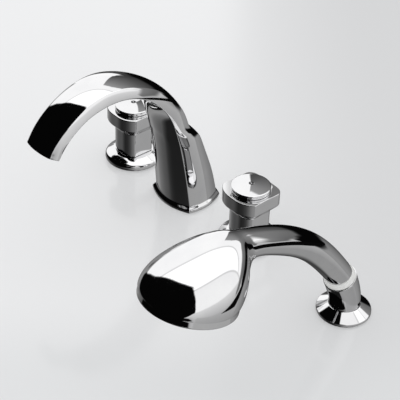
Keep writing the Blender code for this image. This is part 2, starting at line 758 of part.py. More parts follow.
def build_valve(label, frame):
    """The bonnet, gland nut, splined stem, stem adapter and handle screw."""
    stem_bore = STEM_RADIUS + RUNNING_GAP
    bonnet = [
        (stem_bore, BONNET_TOP),
        (THREAD_RADIUS, BONNET_TOP),
        (THREAD_RADIUS, BONNET_SHOULDER),
        (BONNET_RADIUS, BONNET_SHOULDER),
        (BONNET_RADIUS, 0),
        (0, 0),
    ]
    bore_floor = [(0, STEM_BOTTOM - FACE_GAP), (stem_bore, STEM_BOTTOM - FACE_GAP)]
    turned(label + "_valve_bonnet", bore_floor + bonnet, MEDIUM_STEPS, "brass", frame, closed=False)

    nut = rod(label + "_gland_nut", NUT_RADIUS, NUT_BOTTOM, NUT_TOP, HEX_SIDES, "brass", frame)
    lid = NUT_TOP - NUT_LID
    bore = [
        (0, NUT_TOP + CUT_OVERRUN),
        (stem_bore, NUT_TOP + CUT_OVERRUN),
        (stem_bore, lid),
        (THREAD_RADIUS + FACE_GAP, lid),
        (THREAD_RADIUS + FACE_GAP, NUT_BOTTOM - CUT_OVERRUN),
        (0, NUT_BOTTOM - CUT_OVERRUN),
    ]
    cut(nut, turned(label + "_nut_bore_cut", bore, MEDIUM_STEPS, None, frame, closed=False))

    root = STEM_RADIUS - SPLINE_DEPTH
    splines_from = HUB_BOTTOM + SPLINE_DEPTH
    rings = [spline_ring(STEM_RADIUS, STEM_RADIUS, height) for height in (STEM_BOTTOM, HUB_BOTTOM)]
    rings += [spline_ring(STEM_RADIUS, root, height) for height in (splines_from, STEM_TOP)]
    stem = skin(label + "_valve_stem", rings, "steel", frame)
    screw_bottom = WEB_TOP + FACE_GAP - SCREW_LENGTH
    screw_hole = SCREW_RADIUS + FACE_GAP
    hole_bottom = screw_bottom - FACE_GAP
    hole_top = WEB_BOTTOM + CUT_OVERRUN
    cut(stem, rod(label + "_stem_hole_cut", screw_hole, hole_bottom, hole_top, SMALL_STEPS, None, frame))

    adapter_top = WEB_BOTTOM - FACE_GAP
    name = label + "_stem_adapter"
    adapter = rod(name, ADAPTER_RADIUS, splines_from, adapter_top, MEDIUM_STEPS, "nylon", frame)
    rings = [
        spline_ring(STEM_RADIUS + FACE_GAP, root + FACE_GAP, height)
        for height in (splines_from - CUT_OVERRUN, STEM_TOP + FACE_GAP)
    ]
    cut(adapter, skin(label + "_adapter_bore_cut", rings, None, frame))
    cut(adapter, rod(label + "_adapter_hole_cut", screw_hole, STEM_TOP, hole_top, SMALL_STEPS, None, frame))

    head_bottom = WEB_TOP + FACE_GAP
    head_top = head_bottom + SCREW_HEAD_HEIGHT
    screw = [
        (0, head_top),
        (SCREW_HEAD_RADIUS - SCREW_HEAD_EDGE, head_top),
        (SCREW_HEAD_RADIUS, head_top - SCREW_HEAD_EDGE),
        (SCREW_HEAD_RADIUS, head_bottom),
        (SCREW_RADIUS, head_bottom),
        (SCREW_RADIUS, screw_bottom),
        (0, screw_bottom),
    ]
    turned_screw = turned(label + "_handle_screw", screw, SMALL_STEPS, "steel", frame, closed=False)
    key_bottom = head_top - SCREW_SOCKET_DEPTH
    key_top = head_top + CUT_OVERRUN
    cut(turned_screw, rod(label + "_key_cut", SCREW_SOCKET, key_bottom, key_top, HEX_SIDES, None, frame))


def build_cap(label, frame):
    """The round grooved cap with its spigot, seal and index mark."""
    wall_bottom = HEAD_TOP + FACE_GAP
    wall_top = wall_bottom + CAP_WALL_HEIGHT
    apex = wall_top + CAP_RISE
    recess_floor = apex - INDEX_DEPTH
    spigot_bottom = wall_bottom - CAP_SPIGOT_DEPTH
    spigot_inner = CAP_SPIGOT_RADIUS - CAP_SPIGOT_WALL
    recess_outer = INDEX_RADIUS + FACE_GAP
    groove_pitch = CAP_WALL_HEIGHT / (CAP_GROOVES + 1)
    slope_share = 1 - recess_outer / CAP_RADIUS

    outline = [(0, recess_floor), (recess_outer, recess_floor)]
    outline.append((recess_outer, wall_top + CAP_RISE * slope_share))
    outline += [(CAP_RADIUS - CAP_EDGE, wall_top), (CAP_RADIUS, wall_top - CAP_EDGE)]
    for place in range(CAP_GROOVES):
        land = wall_top - (place + 0.5) * groove_pitch
        outline += [(CAP_RADIUS, land), (CAP_RADIUS - CAP_GROOVE_DEPTH, land - groove_pitch / 2)]
    outline += [(CAP_RADIUS, wall_bottom), (CAP_SPIGOT_RADIUS, wall_bottom)]
    seal_floor = CAP_SPIGOT_RADIUS - CAP_SEAL_SECTION
    seal_middle = wall_bottom - CAP_SPIGOT_DEPTH / 2
    seal_half = CAP_SEAL_WIDTH / 2
    outline += groove(CAP_SPIGOT_RADIUS, seal_floor, seal_middle, seal_half + FACE_GAP)
    outline += [(CAP_SPIGOT_RADIUS, spigot_bottom), (spigot_inner, spigot_bottom)]
    outline += [(spigot_inner, wall_top - CAP_THICKNESS), (0, recess_floor - CAP_THICKNESS)]
    turned(label + "_handle_cap", outline, LARGE_STEPS, "chrome", frame, closed=False)

    seal_inner = seal_floor + FACE_GAP
    seal_outer = CAP_SPIGOT_RADIUS + SEAL_STAND
    ring = [(seal_inner, seal_middle + seal_half), (seal_outer, seal_middle + seal_half / 2)]
    ring += [(seal_outer, seal_middle - seal_half / 2), (seal_inner, seal_middle - seal_half)]
    turned(label + "_cap_seal", ring, LARGE_STEPS, "rubber", frame)

    mark_bottom = recess_floor + FACE_GAP
    dot = [
        (0, apex + INDEX_STAND),
        (INDEX_DOME_SHARE * INDEX_DOT_RADIUS, apex + INDEX_DOME_SHARE * INDEX_STAND),
        (INDEX_DOT_RADIUS, apex - INDEX_STAND),
        (INDEX_DOT_RADIUS, mark_bottom),
        (0, mark_bottom),
    ]
    turned(label + "_index_dot", dot, SMALL_STEPS, "steel", frame, closed=False)
    ring_inner = INDEX_DOT_RADIUS + FACE_GAP
    ring_top = apex - INDEX_STAND
    outer_edge = [(INDEX_RADIUS, ring_top), (INDEX_RADIUS, mark_bottom)]
    ring = [(ring_inner, ring_top), *outer_edge, (ring_inner, mark_bottom)]
    turned(label + "_index_ring", ring, SMALL_STEPS, "rubber", frame)


# Cradle


def dock_point(along):
    """A point on the dock's axis, as forward and up distances from the cradle's foot."""
    return (DOCK_FORWARD + along * math.sin(DOCK_TILT), DOCK_HEIGHT + along * math.cos(DOCK_TILT))


def cradle_line(bottom):
    """The tube's middle line: it rises straight and then bends forward into the dock's axis."""
    meeting = DOCK_HEIGHT - DOCK_FORWARD / math.tan(DOCK_TILT)
    bend_from = (0, (bottom + meeting) / 2)
    bend_to = (DOCK_FORWARD, DOCK_HEIGHT)
    line = [(0, bottom)]
    for step in range(CRADLE_BEND_STEPS + 1):
        u = step / CRADLE_BEND_STEPS
        before = (1 - u) * (1 - u)
        between = 2 * u * (1 - u)
        line.append(
            (
                before * bend_from[0] + u * u * bend_to[0],
                before * bend_from[1] + between * meeting + u * u * bend_to[1],
            )
        )
    return line


def build_cradle():
    """The cone flange, the bent tube, the nylon liner and the gasket."""
    foot = GASKET_THICKNESS + FACE_GAP
    line = cradle_line(foot)
    count = len(line)
    growth = (CRADLE_TOP_RADIUS - CRADLE_FOOT_RADIUS) / (count - 1)
    radii = [CRADLE_FOOT_RADIUS + growth * place for place in range(count)]
    tube = pipe("cradle_tube", line, radii, MEDIUM_STEPS, "chrome", cradle_frame)
    low_line = [(0, -CUT_OVERRUN)] + line[1:-1] + [dock_point(-SOCKET_DEPTH / 2)]
    bore_radii = [CRADLE_BORE] * len(low_line)
    cut(tube, pipe("cradle_bore_cut", low_line, bore_radii, MEDIUM_STEPS, None, cradle_frame))
    cut(tube, rod("cradle_top_cut", FLANGE_RADIUS, 0, FLANGE_RADIUS, MEDIUM_STEPS, None, dock_frame))
    cut(tube, rod("socket_cut", SOCKET_RADIUS, -SOCKET_DEPTH, CUT_OVERRUN, MEDIUM_STEPS, None, dock_frame))

    bore_radius = radii[1] + FACE_GAP
    ceiling = FLANGE_HEIGHT - 2 * FLANGE_WALL
    flange = [
        (bore_radius, FLANGE_HEIGHT),
        (bore_radius + FACE_GAP, FLANGE_HEIGHT),
        (FLANGE_RADIUS, foot + FLANGE_RIM),
        (FLANGE_RADIUS, foot),
        (FLANGE_RADIUS - FLANGE_WALL, foot),
        (bore_radius + FLANGE_WALL, ceiling),
        (bore_radius, ceiling),
    ]
    turned("cradle_flange", flange, LARGE_STEPS, "chrome", cradle_frame)

    pad_outer = FLANGE_RADIUS - GASKET_INSET
    pad = [(CRADLE_BORE, GASKET_THICKNESS), (pad_outer, GASKET_THICKNESS), (pad_outer, 0), (CRADLE_BORE, 0)]
    turned("cradle_gasket", pad, LARGE_STEPS, "rubber", cradle_frame)

    skirt_outer = SOCKET_RADIUS - RUNNING_GAP
    skirt_bottom = -SOCKET_DEPTH + FACE_GAP
    collar_middle = (LINER_COLLAR_TOP_RADIUS + LINER_COLLAR_BASE_RADIUS) / 2 + FACE_GAP
    liner = [
        (LINER_BORE, LINER_COLLAR),
        (LINER_COLLAR_TOP_RADIUS, LINER_COLLAR),
        (collar_middle, LINER_COLLAR / 2),
        (LINER_COLLAR_BASE_RADIUS, FACE_GAP),
        (skirt_outer, FACE_GAP),
        (skirt_outer, skirt_bottom),
        (LINER_BORE, skirt_bottom),
    ]
    turned("cradle_liner", liner, LARGE_STEPS, "nylon", dock_frame)


# Hand shower


def shower_point(forward_share, up_share):
    """A point in the hand shower's middle plane, from shares of its reach and crown height."""
    return Vector((0, -forward_share * SHOWER_REACH, up_share * SHOWER_CROWN_HEIGHT))


def rim_point(along_share):
    """A point on the rim's plane, as a share of its radius from the centre towards the heel."""
    along = along_share * RIM_RADIUS
    return Vector(
        (0, -SHOWER_REACH + along * math.cos(RIM_TILT), SHOWER_RIM_HEIGHT - along * math.sin(RIM_TILT))
    )


def grip_line():
    """The grip's middle line from its dock to the neck."""
    start = dock_point(LINER_COLLAR + FACE_GAP)
    line = [Vector((0, -start[0], start[1]))]
    line += [shower_point(*shares) for shares in GRIP_LINE_SHARES]
    return line


def shower_stations():
    """Top point, bottom point, half width, half chord, widest height and flatness of each section."""
    line = grip_line()
    neck_top = shower_point(*NECK_SHARES[0][0:2])
    neck_bottom = shower_point(*NECK_SHARES[0][2:4])
    ahead_of_last = neck_top.lerp(neck_bottom, 0.5)
    rows = []
    for place, centre in enumerate(line):
        ahead = line[place + 1] if place + 1 < len(line) else ahead_of_last
        behind = line[place - 1] if place else centre
        along = (ahead - behind).normalized()
        if place == 0:
            along = Vector((0, -math.sin(DOCK_TILT), math.cos(DOCK_TILT)))
        over = Vector((0, along.z, -along.y))
        radius = GRIP_END_RADIUS if place == 0 else GRIP_RADIUS
        top = centre + over * radius
        bottom = centre - over * radius
        rows.append((top.y, top.z, bottom.y, bottom.z, radius, radius / 2, GRIP_WIDEST_SHARE, 0))
    for top_y, top_z, bottom_y, bottom_z, width, widest, flatness in NECK_SHARES:
        top = shower_point(top_y, top_z)
        bottom = shower_point(bottom_y, bottom_z)
        half = width * GRIP_RADIUS
        rows.append((top.y, top.z, bottom.y, bottom.z, half, half / 2, widest, flatness))
    for along, top_y, top_z, width, chord, widest in HEAD_SHARES:
        top = shower_point(top_y, top_z)
        bottom = rim_point(along)
        rows.append((top.y, top.z, bottom.y, bottom.z, width * RIM_RADIUS, chord * RIM_RADIUS, widest, 1.0))
    return [lifted_to_rim(row) for row in smooth_rows(rows, SHOWER_STEPS_PER_STATION)]


def lifted_to_rim(row):
    """A section of the head with its bottom point raised to the rim's plane where it lay below."""
    top_y, top_z, bottom_y, bottom_z, *rest = row
    if rest[-1] < 1:
        return row
    up = Vector((0, math.sin(RIM_TILT), math.cos(RIM_TILT)))
    bottom = Vector((0, bottom_y, bottom_z))
    depth = min((bottom - rim_point(0)).dot(up), 0)
    bottom -= up * depth
    return (top_y, top_z, bottom.y, bottom.z, *rest)


def bell_ring(station):
    """Points round one section: a half oval over the widest line, and an underside that may be flat."""
    top_y, top_z, bottom_y, bottom_z, half_width, half_chord, widest, flatness = station
    flatness = min(max(flatness, 0), 1)
    top = Vector((0, top_y, top_z))
    bottom = Vector((0, bottom_y, bottom_z))
    ring = []
    for step in range(SHOWER_HALF_STEPS):
        angle = math.pi * step / SHOWER_HALF_STEPS
        height = widest + (1 - widest) * math.sin(angle)
        ring.append(bottom.lerp(top, height) + Vector((half_width * math.cos(angle), 0, 0)))
    for step in range(SHOWER_HALF_STEPS):
        share = step / SHOWER_HALF_STEPS
        angle = math.pi * (1 + share)
        round_x = half_width * math.cos(angle)
        round_height = widest * (1 + math.sin(angle))
        flat_x, flat_height = flat_underside(share, half_width, half_chord, widest)
        x = round_x + (flat_x - round_x) * flatness
        height = round_height + (flat_height - round_height) * flatness
        ring.append(bottom.lerp(top, height) + Vector((x, 0, 0)))
    return ring


def flat_underside(share, half_width, half_chord, widest):
    """The lower outline with a flat: down one side, along the chord, and up the other side."""
    side_share = UNDERSIDE_SIDE_SHARE
    if share < side_share:
        down = share / side_share
        return -half_width + (half_width - half_chord) * down * down, widest * (1 - down)
    if share > 1 - side_share:
        down = (1 - share) / side_share
        return half_width - (half_width - half_chord) * down * down, widest * (1 - down)
    across = (share - side_share) / (1 - 2 * side_share)
    return half_chord * (2 * across - 1), 0


def build_shower():
    """The hand shower: hollow body, rim, spray plate, nozzle mat, diffuser and inlet fittings."""
    body = skin("shower_body", [bell_ring(row) for row in shower_stations()], "chrome", cradle_frame)
    chamber = [
        (0, CHAMBER_THROAT_DEPTH),
        (CHAMBER_THROAT_RADIUS, CHAMBER_THROAT_DEPTH),
        (CHAMBER_SHOULDER_RADIUS, CHAMBER_DEPTH),
        (CHAMBER_RADIUS, RIM_SPIGOT_HEIGHT + FACE_GAP),
        (CHAMBER_RADIUS, -CUT_OVERRUN),
        (0, -CUT_OVERRUN),
    ]
    cut(body, turned("shower_chamber_cut", chamber, LARGE_STEPS, None, rim_frame, closed=False))
    seat_bottom = LINER_COLLAR - CUT_OVERRUN
    seat_top = LINER_COLLAR + DOCK_SPIGOT + FACE_GAP
    cut(body, rod("spigot_cut", SPIGOT_SEAT_RADIUS, seat_bottom, seat_top, MEDIUM_STEPS, None, dock_frame))
    line = grip_line()
    start = dock_point(seat_top - CUT_OVERRUN)
    neck = shower_point(*NECK_SHARES[1][0:2]).lerp(shower_point(*NECK_SHARES[1][2:4]), 0.5)
    throat_up = Vector((0, math.sin(RIM_TILT), math.cos(RIM_TILT)))
    throat = rim_point(0) + throat_up * (CHAMBER_THROAT_DEPTH - CUT_OVERRUN)
    points = [Vector((0, -start[0], start[1]))] + line[1:] + [neck, throat]
    path = smooth_rows([(-point.y, point.z) for point in points], SHOWER_STEPS_PER_STATION)
    duct_radii = [SHOWER_DUCT_RADIUS] * len(path)
    cut(body, pipe("shower_duct_cut", path, duct_radii, SMALL_STEPS, None, cradle_frame))

    spigot_outer = CHAMBER_RADIUS - FACE_GAP
    spigot_inner = spigot_outer - RIM_SPIGOT_WALL
    lip_inner = spigot_inner - RIM_LIP
    rim = [
        (spigot_inner, RIM_SPIGOT_HEIGHT),
        (spigot_outer, RIM_SPIGOT_HEIGHT),
        (spigot_outer, -FACE_GAP),
        (RIM_RADIUS, -FACE_GAP),
    ]
    for share_out, share_down in RIM_SHARES:
        rim.append((share_out * RIM_RADIUS, -share_down * RIM_HEIGHT))
    lip_top = -RIM_HEIGHT + RIM_LIP
    rim += [(lip_inner, -RIM_HEIGHT), (lip_inner, lip_top), (spigot_inner, lip_top)]
    turned("shower_rim", rim, LARGE_STEPS, "chrome", rim_frame)

    disc_radius = spigot_inner - FACE_GAP
    plate_bottom = lip_top + FACE_GAP
    plate_top = plate_bottom + PLATE_THICKNESS
    name = "shower_spray_plate"
    plate = rod(name, disc_radius, plate_bottom, plate_top, LARGE_STEPS, "grey_plastic", rim_frame)
    mat_bottom = plate_top + FACE_GAP
    mat_top = mat_bottom + MAT_THICKNESS
    mat = rod("shower_nozzle_mat", disc_radius, mat_bottom, mat_top, LARGE_STEPS, "rubber", rim_frame)
    nozzle_bottom = plate_bottom - NOZZLE_STAND
    nozzle_top = mat_bottom + MAT_THICKNESS / 2
    hole_radius = NOZZLE_RADIUS + FACE_GAP
    hole_bottom = plate_bottom - CUT_OVERRUN
    hole_top = plate_top + CUT_OVERRUN
    holes = bmesh.new()
    nozzles = bmesh.new()
    for ring in range(1, NOZZLE_RINGS + 1):
        radius = ring * disc_radius / (NOZZLE_RINGS + 1)
        for place in range(ring * NOZZLES_IN_FIRST_RING):
            angle = math.tau * place / (ring * NOZZLES_IN_FIRST_RING)
            spot = Vector((radius * math.cos(angle), radius * math.sin(angle), 0))
            add_rod_to(holes, spot, hole_radius, hole_bottom, hole_top, NOZZLE_SIDES)
            add_rod_to(nozzles, spot, NOZZLE_RADIUS, nozzle_bottom, nozzle_top, NOZZLE_SIDES)
    cut(plate, piece_from(holes, "nozzle_holes_cut", None, rim_frame))
    cut(mat, piece_from(nozzles, "nozzles_join", None, rim_frame), "UNION")

    diffuser_bottom = mat_top + FACE_GAP
    diffuser_top = diffuser_bottom + DIFFUSER_THICKNESS
    name = "shower_diffuser"
    diffuser = rod(name, disc_radius, diffuser_bottom, diffuser_top, LARGE_STEPS, "nylon", rim_frame)
    port_bottom = diffuser_bottom - CUT_OVERRUN
    port_top = diffuser_top + CUT_OVERRUN
    ports = bmesh.new()
    for place in range(DIFFUSER_HOLES):
        angle = math.tau * place / DIFFUSER_HOLES
        spot = Vector((math.cos(angle), math.sin(angle), 0)) * (disc_radius / 2)
        add_rod_to(ports, spot, DIFFUSER_HOLE_RADIUS, port_bottom, port_top, DIFFUSER_HOLE_SIDES)
    cut(diffuser, piece_from(ports, "diffuser_ports_cut", None, rim_frame))

    cone_bottom = -DOCK_CONE_DEPTH
    cone_spigot_radius = SPIGOT_SEAT_RADIUS - FACE_GAP
    cone_top = LINER_COLLAR
    cone = [
        (DOCK_CONE_BORE, cone_top + DOCK_SPIGOT),
        (cone_spigot_radius, cone_top + DOCK_SPIGOT),
        (cone_spigot_radius, cone_top),
        (DOCK_CONE_RADIUS, cone_top),
        (DOCK_CONE_RADIUS - DOCK_CONE_TAPER, cone_bottom),
        (DOCK_CONE_BORE, cone_bottom),
    ]
    turned("shower_dock_cone", cone, MEDIUM_STEPS, "chrome", dock_frame)
    nipple_top = cone_bottom - FACE_GAP
    nipple_bottom = nipple_top - NIPPLE_LENGTH
    nipple = [
        (NIPPLE_BORE - FACE_GAP, nipple_top + NIPPLE_SPIGOT),
        (DOCK_CONE_BORE - FACE_GAP, nipple_top + NIPPLE_SPIGOT),
        (DOCK_CONE_BORE - FACE_GAP, nipple_top),
        (NIPPLE_RADIUS, nipple_top),
        (NIPPLE_RADIUS, nipple_bottom),
        (NIPPLE_BORE - FACE_GAP, nipple_bottom),
    ]
    turned("shower_hose_nipple", nipple, SMALL_STEPS, "brass", dock_frame)
    washer_top = nipple_bottom - FACE_GAP
    washer_bottom = washer_top - WASHER_THICKNESS
    washer = [(NIPPLE_BORE, washer_top), (WASHER_RADIUS, washer_top), (WASHER_RADIUS, washer_bottom)]
    washer.append((NIPPLE_BORE, washer_bottom))
    turned("shower_hose_washer", washer, SMALL_STEPS, "rubber", dock_frame)


build_spout()
build_handle("hot", HOT_HANDLE_X)
build_handle("cold", COLD_HANDLE_X)
build_cradle()
build_shower()
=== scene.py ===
"""Looks of the deck-mounted tub filler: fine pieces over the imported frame, with studio and camera.

Lengths are in metres in the frame's own axes: +Z up, -Y forward, and the origin at the foot of the
spout's post.
"""

import json
import math

import bmesh
import bpy
from mathutils import Matrix, Vector


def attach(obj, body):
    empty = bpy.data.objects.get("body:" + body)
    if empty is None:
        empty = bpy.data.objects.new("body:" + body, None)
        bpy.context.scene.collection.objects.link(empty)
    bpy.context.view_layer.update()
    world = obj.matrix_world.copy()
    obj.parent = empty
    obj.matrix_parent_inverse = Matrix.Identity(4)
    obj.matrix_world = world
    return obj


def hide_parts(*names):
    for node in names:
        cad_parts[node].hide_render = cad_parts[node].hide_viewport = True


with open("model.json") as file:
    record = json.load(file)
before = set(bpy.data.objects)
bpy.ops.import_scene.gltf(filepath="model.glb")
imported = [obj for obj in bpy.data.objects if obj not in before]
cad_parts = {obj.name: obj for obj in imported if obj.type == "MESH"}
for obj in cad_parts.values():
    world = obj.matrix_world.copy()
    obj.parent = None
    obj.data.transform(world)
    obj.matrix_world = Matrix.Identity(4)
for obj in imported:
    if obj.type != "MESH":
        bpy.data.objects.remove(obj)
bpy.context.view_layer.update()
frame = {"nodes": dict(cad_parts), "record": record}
scene = bpy.context.scene

# Places and sizes that the frame's parts share with these pieces
HANDLE_PLACES = {"hot": -0.0903, "cold": 0.0998}
CRADLE_X = 0.2369
FACE_GAP = 0.0003
RUNNING_GAP = 0.0004
GASKET_THICKNESS = 0.0010
CUT_OVERRUN = 0.0020
FOOT = GASKET_THICKNESS + FACE_GAP

# Smoothness of the fine pieces
TURN_STEPS = 128
SMALL_TURN_STEPS = 64
STATION_STEPS = 6
CORNER_STEPS = 4
SIDE_LINE_POINTS = 33
MIDDLE_SHARE = 0.5
MERGE_DISTANCE = 0.000001
EDGE_EASE = 0.0005
SHARP_ANGLE = math.radians(50)

# Spout
SPOUT_REACH = 0.1836
SPOUT_RISE = 0.1770
SPOUT_HALF_WIDTH = 0.0240
SPOUT_FRONT_CROWN = 0.0085
SPOUT_BACK_CROWN = 0.0050
SPOUT_SIDE_BOW = 0.0050
SKIRT_HEIGHT = 0.0070
SKIRT_FLARE = 0.0027
SPOUT_CROWN_POINTS = 24
SPOUT_SIDE_POINTS = 12
SPOUT_CORNER_EASE = 0.0008
MOUTH_HALF_WIDTH = 0.0130
MOUTH_HALF_HEIGHT = 0.0030
MOUTH_DEPTH = 0.0080
POST_RADIUS = 0.0120
POST_HEIGHT = 0.0550
SET_SCREW_HEIGHT = 0.0160
SET_SCREW_RADIUS = 0.0025
SET_SCREW_HOLE_END = 0.0450

# Stations from the foot to the tip: the lower and the upper edge, each forward and up as shares of
# reach and rise, the half widths at both, and the front crown, the back crown and the side bow
SPOUT_STATION_SHARES = (
    (0.095, 0.045, -0.131, 0.045, 1.17, 0.92, 1.00, 1.00, 1.00),
    (0.111, 0.181, -0.098, 0.192, 1.13, 0.92, 0.94, 0.90, 0.92),
    (0.132, 0.328, -0.056, 0.316, 1.08, 0.93, 0.88, 0.80, 0.80),
    (0.158, 0.469, -0.014, 0.435, 1.04, 0.93, 0.76, 0.72, 0.64),
    (0.172, 0.525, 0.010, 0.497, 1.03, 0.93, 0.71, 0.66, 0.52),
    (0.182, 0.565, 0.044, 0.543, 1.02, 0.92, 0.66, 0.62, 0.44),
    (0.194, 0.605, 0.080, 0.573, 1.01, 0.90, 0.61, 0.62, 0.36),
    (0.212, 0.661, 0.101, 0.640, 1.00, 0.88, 0.53, 0.70, 0.24),
    (0.248, 0.732, 0.140, 0.727, 1.00, 0.87, 0.42, 0.84, 0.16),
    (0.305, 0.811, 0.208, 0.820, 1.00, 0.85, 0.35, 0.88, 0.12),
    (0.373, 0.872, 0.297, 0.898, 1.00, 0.83, 0.31, 0.88, 0.10),
    (0.463, 0.921, 0.412, 0.960, 1.00, 0.82, 0.29, 0.88, 0.10),
    (0.561, 0.945, 0.543, 1.000, 1.00, 0.82, 0.29, 0.88, 0.10),
    (0.664, 0.941, 0.670, 0.994, 1.00, 0.81, 0.29, 0.86, 0.10),
    (0.763, 0.914, 0.793, 0.946, 1.00, 0.79, 0.29, 0.82, 0.10),
    (0.850, 0.857, 0.887, 0.881, 1.00, 0.77, 0.29, 0.76, 0.10),
    (0.910, 0.797, 0.952, 0.814, 1.00, 0.75, 0.29, 0.70, 0.10),
    (0.953, 0.732, 0.995, 0.746, 1.00, 0.73, 0.29, 0.62, 0.10),
)

# The skirt's outline, as shares of its height and of its flare, from the deck up
SKIRT_SHARES = ((0.00, 0.85), (0.25, 1.00), (0.50, 0.88), (0.72, 0.42), (0.90, 0.08), (1.0, 0.0))

# Handles
ESCUTCHEON_RADIUS = 0.0310
ESCUTCHEON_HEIGHT = 0.0121
ESCUTCHEON_BORE = 0.0164
ESCUTCHEON_WALL = 0.0028
ESCUTCHEON_INNER_SHARES = (0.96, 0.82)
ESCUTCHEON_SHARES = (
    (0.71, 1.00), (0.80, 0.86), (0.89, 0.71), (0.955, 0.60), (0.985, 0.49), (1.00, 0.33),
    (0.995, 0.12), (0.97, 0.00),
)
COLUMN_HALF_WIDTH = 0.0175
COLUMN_TOP = 0.0417
HEAD_HALF_WIDTH = 0.0250
HEAD_TAPER_TOP = 0.0500
HEAD_TOP = 0.0645
HEAD_EDGE = 0.0006
COLLAR_DEPTH = 0.0028
COLLAR_RADIUS = 0.0146
HANDLE_BORE = 0.0120
HUB_BORE = 0.0093
HUB_BOTTOM = 0.0350
WEB_BOTTOM = 0.0460
WEB_TOP = 0.0520
SCREW_RADIUS = 0.0024
HANDLE_SIDE_STEPS = 3
HANDLE_BACK_SIDES = 5
HANDLE_BACK_POINTS = 80
HANDLE_FRONT_POINTS = 40
HANDLE_CORNER_EASE = 0.0008
HANDLE_BEND_EASE = 0.0012

# Corners of the handle's plan from front right round by the back, as shares of its half width,
# each with the bow of the side that follows it. Only the first and the sixth are crisp.
HANDLE_CORNER_SHARES = (
    (0.98, -0.62, -0.02), (0.96, 0.62, 0.07), (0.60, 0.91, 0.02), (-0.60, 0.91, 0.07),
    (-0.96, 0.62, -0.02), (-0.98, -0.62, 0.08), (-0.32, -1.02, 0.01), (0.32, -1.02, 0.08),
)
CAP_RADIUS = 0.0200
CAP_WALL_HEIGHT = 0.0042
CAP_RISE = 0.0025
CAP_THICKNESS = 0.0022
CAP_GROOVES = 1
CAP_GROOVE_DEPTH = 0.0004
CAP_GROOVE_SHARES = ((0.30, 0.0), (0.14, 0.55), (0.0, 1.0), (-0.14, 0.55), (-0.30, 0.0))
CAP_CONE_SHARE = 0.55
CAP_CROWN_STEPS = 24
CAP_BEVEL = EDGE_EASE / 3
CAP_SHOULDER = 2 * EDGE_EASE
CAP_SPIGOT_RADIUS = 0.0169
CAP_SPIGOT_WALL = 0.0024
CAP_SPIGOT_DEPTH = 0.0058
INDEX_RADIUS = 0.0024
INDEX_DOT_RADIUS = 0.0013
INDEX_DEPTH = 0.0010
INDEX_STAND = 0.0003
INDEX_EASE = EDGE_EASE / 4
INDEX_STEPS = 8

# Cradle
FLANGE_RADIUS = 0.0265
FLANGE_RIM = 0.0027
FLANGE_HEIGHT = 0.0105
FLANGE_WALL = 0.0024
CRADLE_FOOT_RADIUS = 0.0152
CRADLE_TOP_RADIUS = 0.0158
CRADLE_BORE = 0.0122
DOCK_TILT = math.radians(25)
DOCK_FORWARD = 0.0110
DOCK_HEIGHT = 0.0468
SOCKET_RADIUS = 0.0138
SOCKET_DEPTH = 0.0190
LINER_COLLAR = 0.0070
LINER_COLLAR_BASE_RADIUS = 0.0152
LINER_COLLAR_TOP_RADIUS = 0.0137
LINER_BORE = 0.0114
CRADLE_BEND_STEPS = 24

# Hand shower
GRIP_END_RADIUS = 0.0132
GRIP_RADIUS = 0.0133
SHOWER_REACH = 0.1954
SHOWER_RIM_HEIGHT = 0.1244
SHOWER_CROWN_SHARE = 1.3505
SHOWER_CROWN_HEIGHT = SHOWER_CROWN_SHARE * SHOWER_RIM_HEIGHT
RIM_RADIUS = 0.0436
RIM_TILT = math.radians(13.3)
RIM_HEIGHT = 0.0070

# Grip: its middle line, forward and up. Neck: top and bottom point, half width, widest height and
# flatness. Head: bottom point along the rim, top point, half width, half chord and widest height
GRIP_LINE_SHARES = ((0.169, 0.468), (0.287, 0.619), (0.409, 0.727), (0.542, 0.811))
NECK_SHARES = (
    (0.671, 0.949, 0.673, 0.786, 0.95, 0.50, 0.00),
    (0.709, 0.963, 0.727, 0.735, 1.10, 0.50, 0.30),
)
HEAD_SHARES = (
    (0.991, 0.737, 0.971, 0.480, 0.134, 0.36),
    (0.872, 0.760, 0.977, 0.620, 0.490, 0.26),
    (0.642, 0.799, 0.984, 0.800, 0.766, 0.14),
    (0.275, 0.885, 0.975, 0.968, 0.961, 0.06),
    (-0.183, 0.995, 0.942, 0.983, 0.983, 0.02),
    (-0.550, 1.085, 0.902, 0.835, 0.835, 0.02),
    (-0.803, 1.150, 0.863, 0.596, 0.596, 0.02),
    (-0.940, 1.193, 0.832, 0.341, 0.341, 0.02),
    (-0.995, 1.214, 0.808, 0.100, 0.100, 0.02),
)
UNDERSIDE_SIDE_SHARE = 0.25
GRIP_WIDEST_SHARE = 0.5
SHOWER_HALF_POINTS = 40
SPIGOT_SEAT_RADIUS = 0.0078
DOCK_SPIGOT = 0.0100
CHAMBER_RADIUS = 0.0396
CHAMBER_SHOULDER_RADIUS = 0.0340
CHAMBER_DEPTH = 0.0080
CHAMBER_THROAT_RADIUS = 0.0110
CHAMBER_THROAT_DEPTH = 0.0240
RIM_SPIGOT_WALL = 0.0028
RIM_SPIGOT_HEIGHT = 0.0035
RIM_LIP = 0.0016
RIM_SHARES = ((0.965, 0.03), (0.969, 0.10), (0.991, 0.84), (0.986, 0.94), (0.962, 1.00))
DOCK_CONE_RADIUS = 0.0110
DOCK_CONE_TAPER = 0.0006
DOCK_CONE_DEPTH = 0.0140
DOCK_CONE_BORE = 0.0052
NIPPLE_RADIUS = 0.0092
NIPPLE_LENGTH = 0.0090
NIPPLE_BORE = 0.0044
NIPPLE_SPIGOT = 0.0060
THREAD_TURNS = 5
THREAD_FLANK_SHARE = 0.4
THREAD_DEPTH = 0.0005

